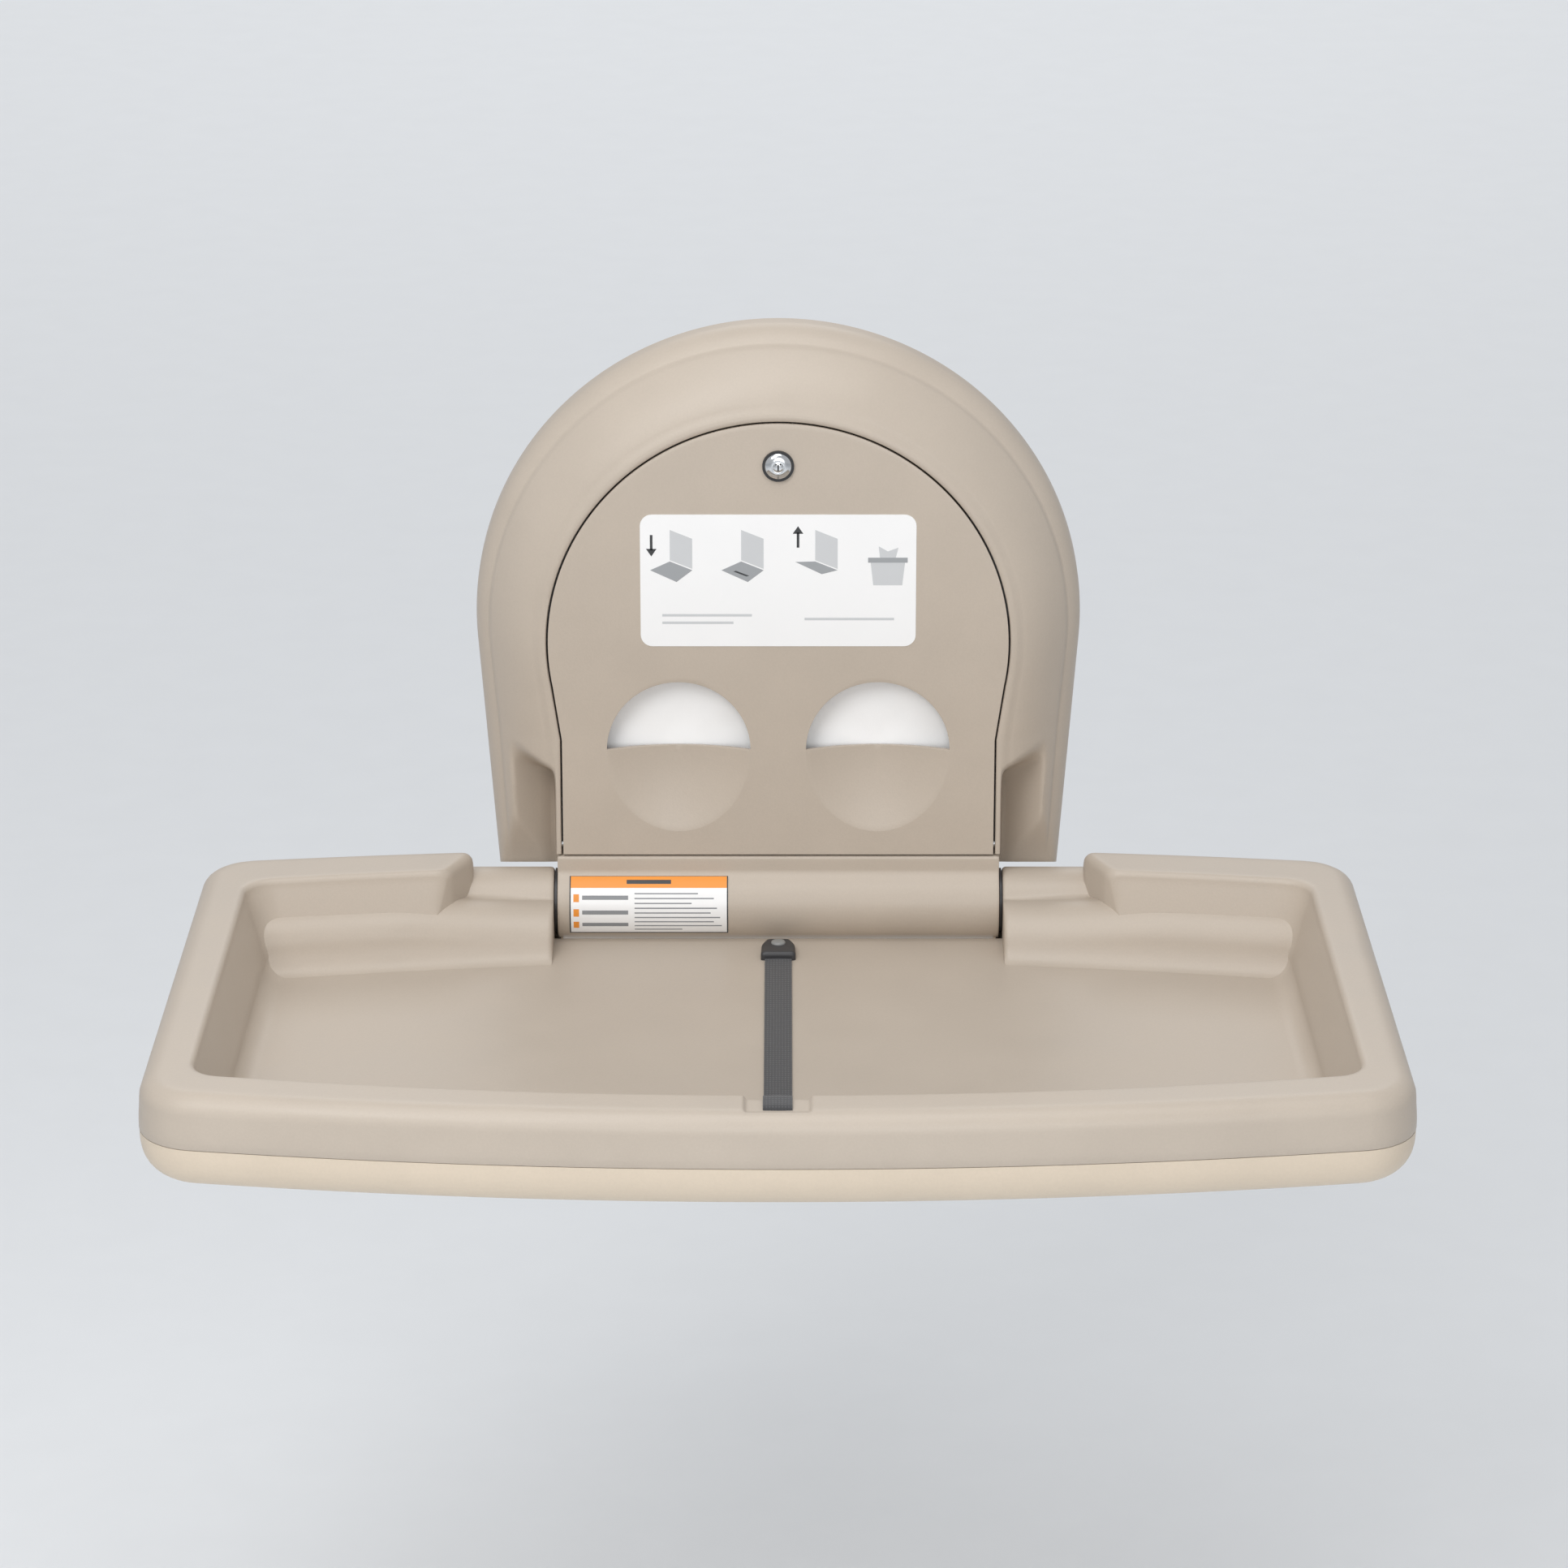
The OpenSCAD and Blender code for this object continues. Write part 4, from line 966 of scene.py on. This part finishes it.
class TABLE_OT_shell(bpy.types.Operator):
    """Cream lower shell: from the seam round under the bed to its belly"""

    bl_idname = "table.shell"
    bl_label = "Lower shell"

    def execute(self, context):
        """Rings of the outer outline whose inset and height follow one smooth curve."""
        s = context.scene.table_sizes
        seam, belly = mm(s.seam_height), mm(s.rim_height - s.bed_depth)
        line = np.array([[0.3, seam - 0.7], [0, seam - 2], [0, seam - 7], [0.4, seam - 12],
                         [2, seam - 19], [8, seam - 28], [18, seam - 34], [45, belly + 13],
                         [90, belly + 9], [150, belly + 4], [200, belly + 0.6]])
        line = softened(spaced(line, 60), 6)
        line = np.concatenate([line[:24], line[24::3], line[-1:]])
        rings = [outer_ring(i, 173.2) for i, _ in line]
        flat = np.stack([r[0] for r in rings])
        mark = rings[0][1]
        up = np.repeat(line[:, 1:], len(mark), 1)
        # The shell runs back under the fairings, and stops short in the middle
        past = flat[..., 1]
        rear = (past < 60) & (np.abs(flat[..., 0]) < 402) & (mark != 1)[None]
        inset = np.minimum(line[:, :1], 40)
        ease = smoothstep(402, 388, np.abs(flat[..., 0]))
        flat[..., 1] = np.where(rear, past + (-25.5 + inset * 0.75 - past) * ease, past)
        middle = (mark == 1)[None] & (past < 120)
        flat[..., 1] = np.where(middle, np.maximum(20.6, past), flat[..., 1])
        up = np.where(middle, np.minimum(up, -27), up)
        hub = np.array(BED_HUB)
        rows = [flat] + [hub + (flat[-1:] - hub) * t for t in (0.7, 0.4, 0.15, 0.0)]
        flat = np.concatenate(rows)
        up = np.concatenate([up] + [up[-1:] - 0.3] * 4)
        points = place(flat[..., 0], flat[..., 1], up).reshape(-1, 3)
        faces = grid_faces(len(flat), flat.shape[1], closed=True)
        make("shell_skin", points, faces, "bed", "shell_plastic", ["bed_shell"], wall=2.2,
             front=(0, 0, -1), sharp=50)
        return {"FINISHED"}


class TABLE_OT_strap(bpy.types.Operator):
    """Safety strap of webbing, laid over the floor and up to the notch in the rim"""

    bl_idname = "table.strap"
    bl_label = "Strap"

    def execute(self, context):
        """A flat strip carried along the route, with a crown of 0.3 mm across it.

        The route is the CAD strap's middle line, resampled evenly and eased at its bends.
        """
        s = context.scene.table_sizes
        width, reach, rim = mm(s.strap_width), mm(s.bed_reach), mm(s.rim_height)
        floor = rim - mm(s.tray_depth)
        front, lie = reach - 42, floor + 1.0
        slot, rise = front + 22, front - 25
        route = [[62, lie], [rise - 12, lie], [rise - 3, lie + 1.6], [rise + 2, lie + 7],
                 [rise + 6, floor + 16], [front - 3.6, rim - 8], [front - 2.3, rim - 2.4],
                 [front + 2, rim - 1.7], [slot + 0.2, rim - 1.5], [slot + 1.5, rim - 3],
                 [slot + 1.5, rim - 8], [slot + 1.5, rim - 20]]
        route = softened(spaced(route, 240), 4)
        step = np.linalg.norm(np.diff(route, axis=0), axis=1)
        run = np.concatenate([[0], np.cumsum(step)])
        along = np.gradient(route, axis=0)
        along /= np.linalg.norm(along, axis=1)[:, None]
        normal = np.stack([-along[:, 1], along[:, 0]], -1)
        across = np.linspace(-1, 1, 9)
        crown = 0.3 * (1 - across**2)
        line = route[:, None] + normal[:, None] * (crown + 0.5)[None, :, None]
        x = np.repeat((across * width / 2)[None], len(route), 0)
        points = place(x, line[..., 0], line[..., 1]).reshape(-1, 3)
        uv = np.stack([x * MM, np.repeat(run[:, None] * MM, len(across), 1)], -1).reshape(-1, 2)
        piece = make("strap_webbing", points, grid_faces(len(route), len(across)), "bed",
                     "webbing", ["strap"], wall=1.2, front=(0, 0, 1), uv=uv)
        return {"FINISHED"}


class TABLE_OT_buckle(bpy.types.Operator):
    """Buckle at the back of the floor: a rounded wedge with a round push button"""

    bl_idname = "table.buckle"
    bl_label = "Buckle"

    def execute(self, context):
        """Level rings of a rounded wedge, drawn in towards the top over a quarter circle."""
        s = context.scene.table_sizes
        floor = mm(s.rim_height - s.tray_depth)
        line = spaced(np.array([[9, 36], [13, 47], [13.5, 66], [-13.5, 66], [-13, 47],
                                [-9, 36], [9, 36]], float), 97)[:-1]
        ring = line.copy()
        for _ in range(5):
            ring = (np.roll(ring, 1, 0) + 2 * ring + np.roll(ring, -1, 0)) / 4
        hub = ring.mean(0)
        rows = [(0, 0.1), (1, 0.1), (1, 2.5)]
        rows += [(1 - 0.2 * (1 - cos(a)), 3.5 + 3.4 * sin(a)) for a in
                 np.linspace(0, pi / 2, 8)]
        rows += [(0.5, 7.0), (0, 7.05)]
        points = np.concatenate([place(*(hub + (ring - hub) * g).T, floor + h)
                                 for g, h in rows])
        make("buckle_body", points, grid_faces(len(rows), len(ring), closed=True), "bed",
             "buckle_plastic", ["strap_buckle"], sharp=50)
        a = np.linspace(0, 2 * pi, 48, endpoint=False)
        rows = [(0, 9.0), (2, 8.95), (4, 8.75), (5.1, 8.3), (5.5, 7.7), (5.5, 5), (0, 5)]
        points = np.concatenate([place(r * np.cos(a), 47 + r * np.sin(a), floor + h)
                                 for r, h in rows])
        make("buckle_press", points, grid_faces(len(rows), len(a), closed=True), "buckle_button",
             "button_plastic", ["buckle_button"], sharp=50)
        return {"FINISHED"}


class TABLE_OT_liners(bpy.types.Operator):
    """Stacks of folded paper liners behind the two openings"""

    bl_idname = "table.liners"
    bl_label = "Liners"

    def execute(self, context):
        """A block whose front swells softly and whose folds show as shallow upright waves."""
        for side, sign in (("left", -1), ("right", 1)):
            low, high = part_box("liner_stack_" + side)
            x = np.linspace(low.x, high.x, 90)[None]
            z = np.linspace(low.z, high.z, 60)[:, None]
            u = (x - low.x) / (high.x - low.x)
            v = (z - low.z) / (high.z - low.z)
            swell = 1.2 * MM * (1 - (4 * u * (1 - u)) ** 0.5 * (4 * v * (1 - v)) ** 0.5)
            wave = PAD_WAVE * (1 - np.cos(2 * pi * (v * 5 + 0.15 * np.sin(6 * u * pi))))
            y = low.y + swell + wave
            face = np.stack([x + 0 * y, y, z + 0 * y], -1)
            back = face.copy()
            back[..., 1] = high.y
            points = np.concatenate([face.reshape(-1, 3), back.reshape(-1, 3)])
            rows, cols = face.shape[:2]
            n = rows * cols
            sheet = grid_faces(rows, cols)
            loop = np.concatenate([np.arange(cols), np.arange(1, rows) * cols + cols - 1,
                                   n - 2 - np.arange(cols - 1),
                                   np.arange(rows - 2, 0, -1) * cols])
            nxt = np.roll(loop, -1)
            rim = np.stack([loop, loop + n, nxt + n, nxt], -1)
            faces = np.concatenate([sheet, sheet[:, ::-1] + n, rim])
            make("liner_pad_" + side, points, faces, "root", "liner_paper",
                 ["liner_stack_" + side], sharp=50)
        return {"FINISHED"}


class TABLE_OT_finishes(bpy.types.Operator):
    """Finishes of the steel, nylon and plastic pieces kept from the CAD model"""

    bl_idname = "table.finishes"
    bl_label = "Finishes of kept pieces"

    def execute(self, context):
        """Each kept piece gets the material of its slot in the record."""
        slots = {p["node"]: p["material_slot"] for p in frame["record"]["subparts"]}
        for node, piece in frame["nodes"].items():
            if not piece.hide_render:
                piece.data.materials.clear()
                piece.data.materials.append(FINISHES[slots[node]]())
        return {"FINISHED"}


class TABLE_OT_stage(bpy.types.Operator):
    """Plain pale floor, soft lights and the camera"""

    bl_idname = "table.stage"
    bl_label = "Stage"

    def execute(self, context):
        """A level floor under the table, wide enough to fill the view, and four round lamps.

        The camera looks down 20.4 degrees from 4.2 m, through a long lens.
        """
        scene = context.scene
        down, span = CAD_BOX[0].z - FLOOR_DROP, FLOOR_HALF
        mesh = bpy.data.meshes.new("floor")
        mesh.from_pydata([(-span, -span, down), (span, -span, down), (span, span, down),
                          (-span, span, down)], [], [(0, 1, 2, 3)])
        floor = bpy.data.objects.new("floor", mesh)
        scene.collection.objects.link(floor)
        mesh.materials.append(surface("painted_floor", scene.table_colours.floor, 0.85, 5.0,
                                      0.05, mottle=0.01, spread=0.02))
        # Name, place, turn in degrees, width and power of each lamp
        lights = (
            ("key", (-1.2, -2.6, 2.2), (55, 0, -24), 1.8, 38),
            ("front", (0.2, -3.3, 0.5), (82, 0, 4), 1.8, 22),
            ("top", (-0.1, -1.1, 2.4), (8, 0, 0), 1.8, 22),
            ("far", (0.0, 7.0, 5.0), (0, 0, 0), 6.0, 170),
        )
        for name, spot, turn, size, power in lights:
            data = bpy.data.lights.new(name, "AREA")
            data.shape = "DISK"
            data.size = size
            data.energy = power
            lamp = bpy.data.objects.new(name, data)
            lamp.location = spot
            lamp.rotation_euler = [radians(t) for t in turn]
            scene.collection.objects.link(lamp)
        world = bpy.data.worlds.new("sky")
        world.use_nodes = True
        sky = world.node_tree.nodes["Background"]
        sky.inputs["Color"].default_value = linear("#E9EBEE")
        sky.inputs["Strength"].default_value = 0.66
        scene.world = world
        scene.view_settings.view_transform = "Standard"
        data = bpy.data.cameras.new("camera")
        data.sensor_width = 36.0
        data.lens = CAMERA_LENS
        data.clip_end = 200.0
        camera = bpy.data.objects.new("camera", data)
        camera.location = CAMERA_PLACE
        camera.rotation_euler = (radians(CAMERA_TILT), 0, 0)
        scene.collection.objects.link(camera)
        scene.camera = camera
        return {"FINISHED"}


PIECES = (
    TABLE_OT_stage, TABLE_OT_housing, TABLE_OT_door, TABLE_OT_door_labels, TABLE_OT_lock,
    TABLE_OT_hinge_cover, TABLE_OT_notice, TABLE_OT_tray, TABLE_OT_fairings, TABLE_OT_shell,
    TABLE_OT_strap, TABLE_OT_buckle, TABLE_OT_liners, TABLE_OT_finishes,
)


class TABLE_PT_panel(bpy.types.Panel):
    """Lists the table's sizes, colours and pieces in the sidebar"""

    bl_idname = "TABLE_PT_panel"
    bl_label = "Changing table"
    bl_space_type = "VIEW_3D"
    bl_region_type = "UI"
    bl_category = "Changing table"

    def draw(self, context):
        """One row for each value and one button for each operator."""
        for group in (context.scene.table_sizes, context.scene.table_colours):
            box = self.layout.box()
            for name in group.__annotations__:
                box.prop(group, name)
        for piece in PIECES:
            self.layout.operator(piece.bl_idname)


CLASSES = (TableSizes, TableColours, *PIECES, TABLE_PT_panel)


def register():
    """Registers the classes and hangs the two groups of values on the scene."""
    for item in CLASSES:
        bpy.utils.register_class(item)
    bpy.types.Scene.table_sizes = bpy.props.PointerProperty(type=TableSizes)
    bpy.types.Scene.table_colours = bpy.props.PointerProperty(type=TableColours)


def unregister():
    """Takes away what register added."""
    del bpy.types.Scene.table_colours
    del bpy.types.Scene.table_sizes
    for item in reversed(CLASSES):
        bpy.utils.unregister_class(item)


def main():
    register()
    for piece in PIECES:
        group, name = piece.bl_idname.split(".")
        getattr(getattr(bpy.ops, group), name)()


if __name__ == "__main__":
    main()
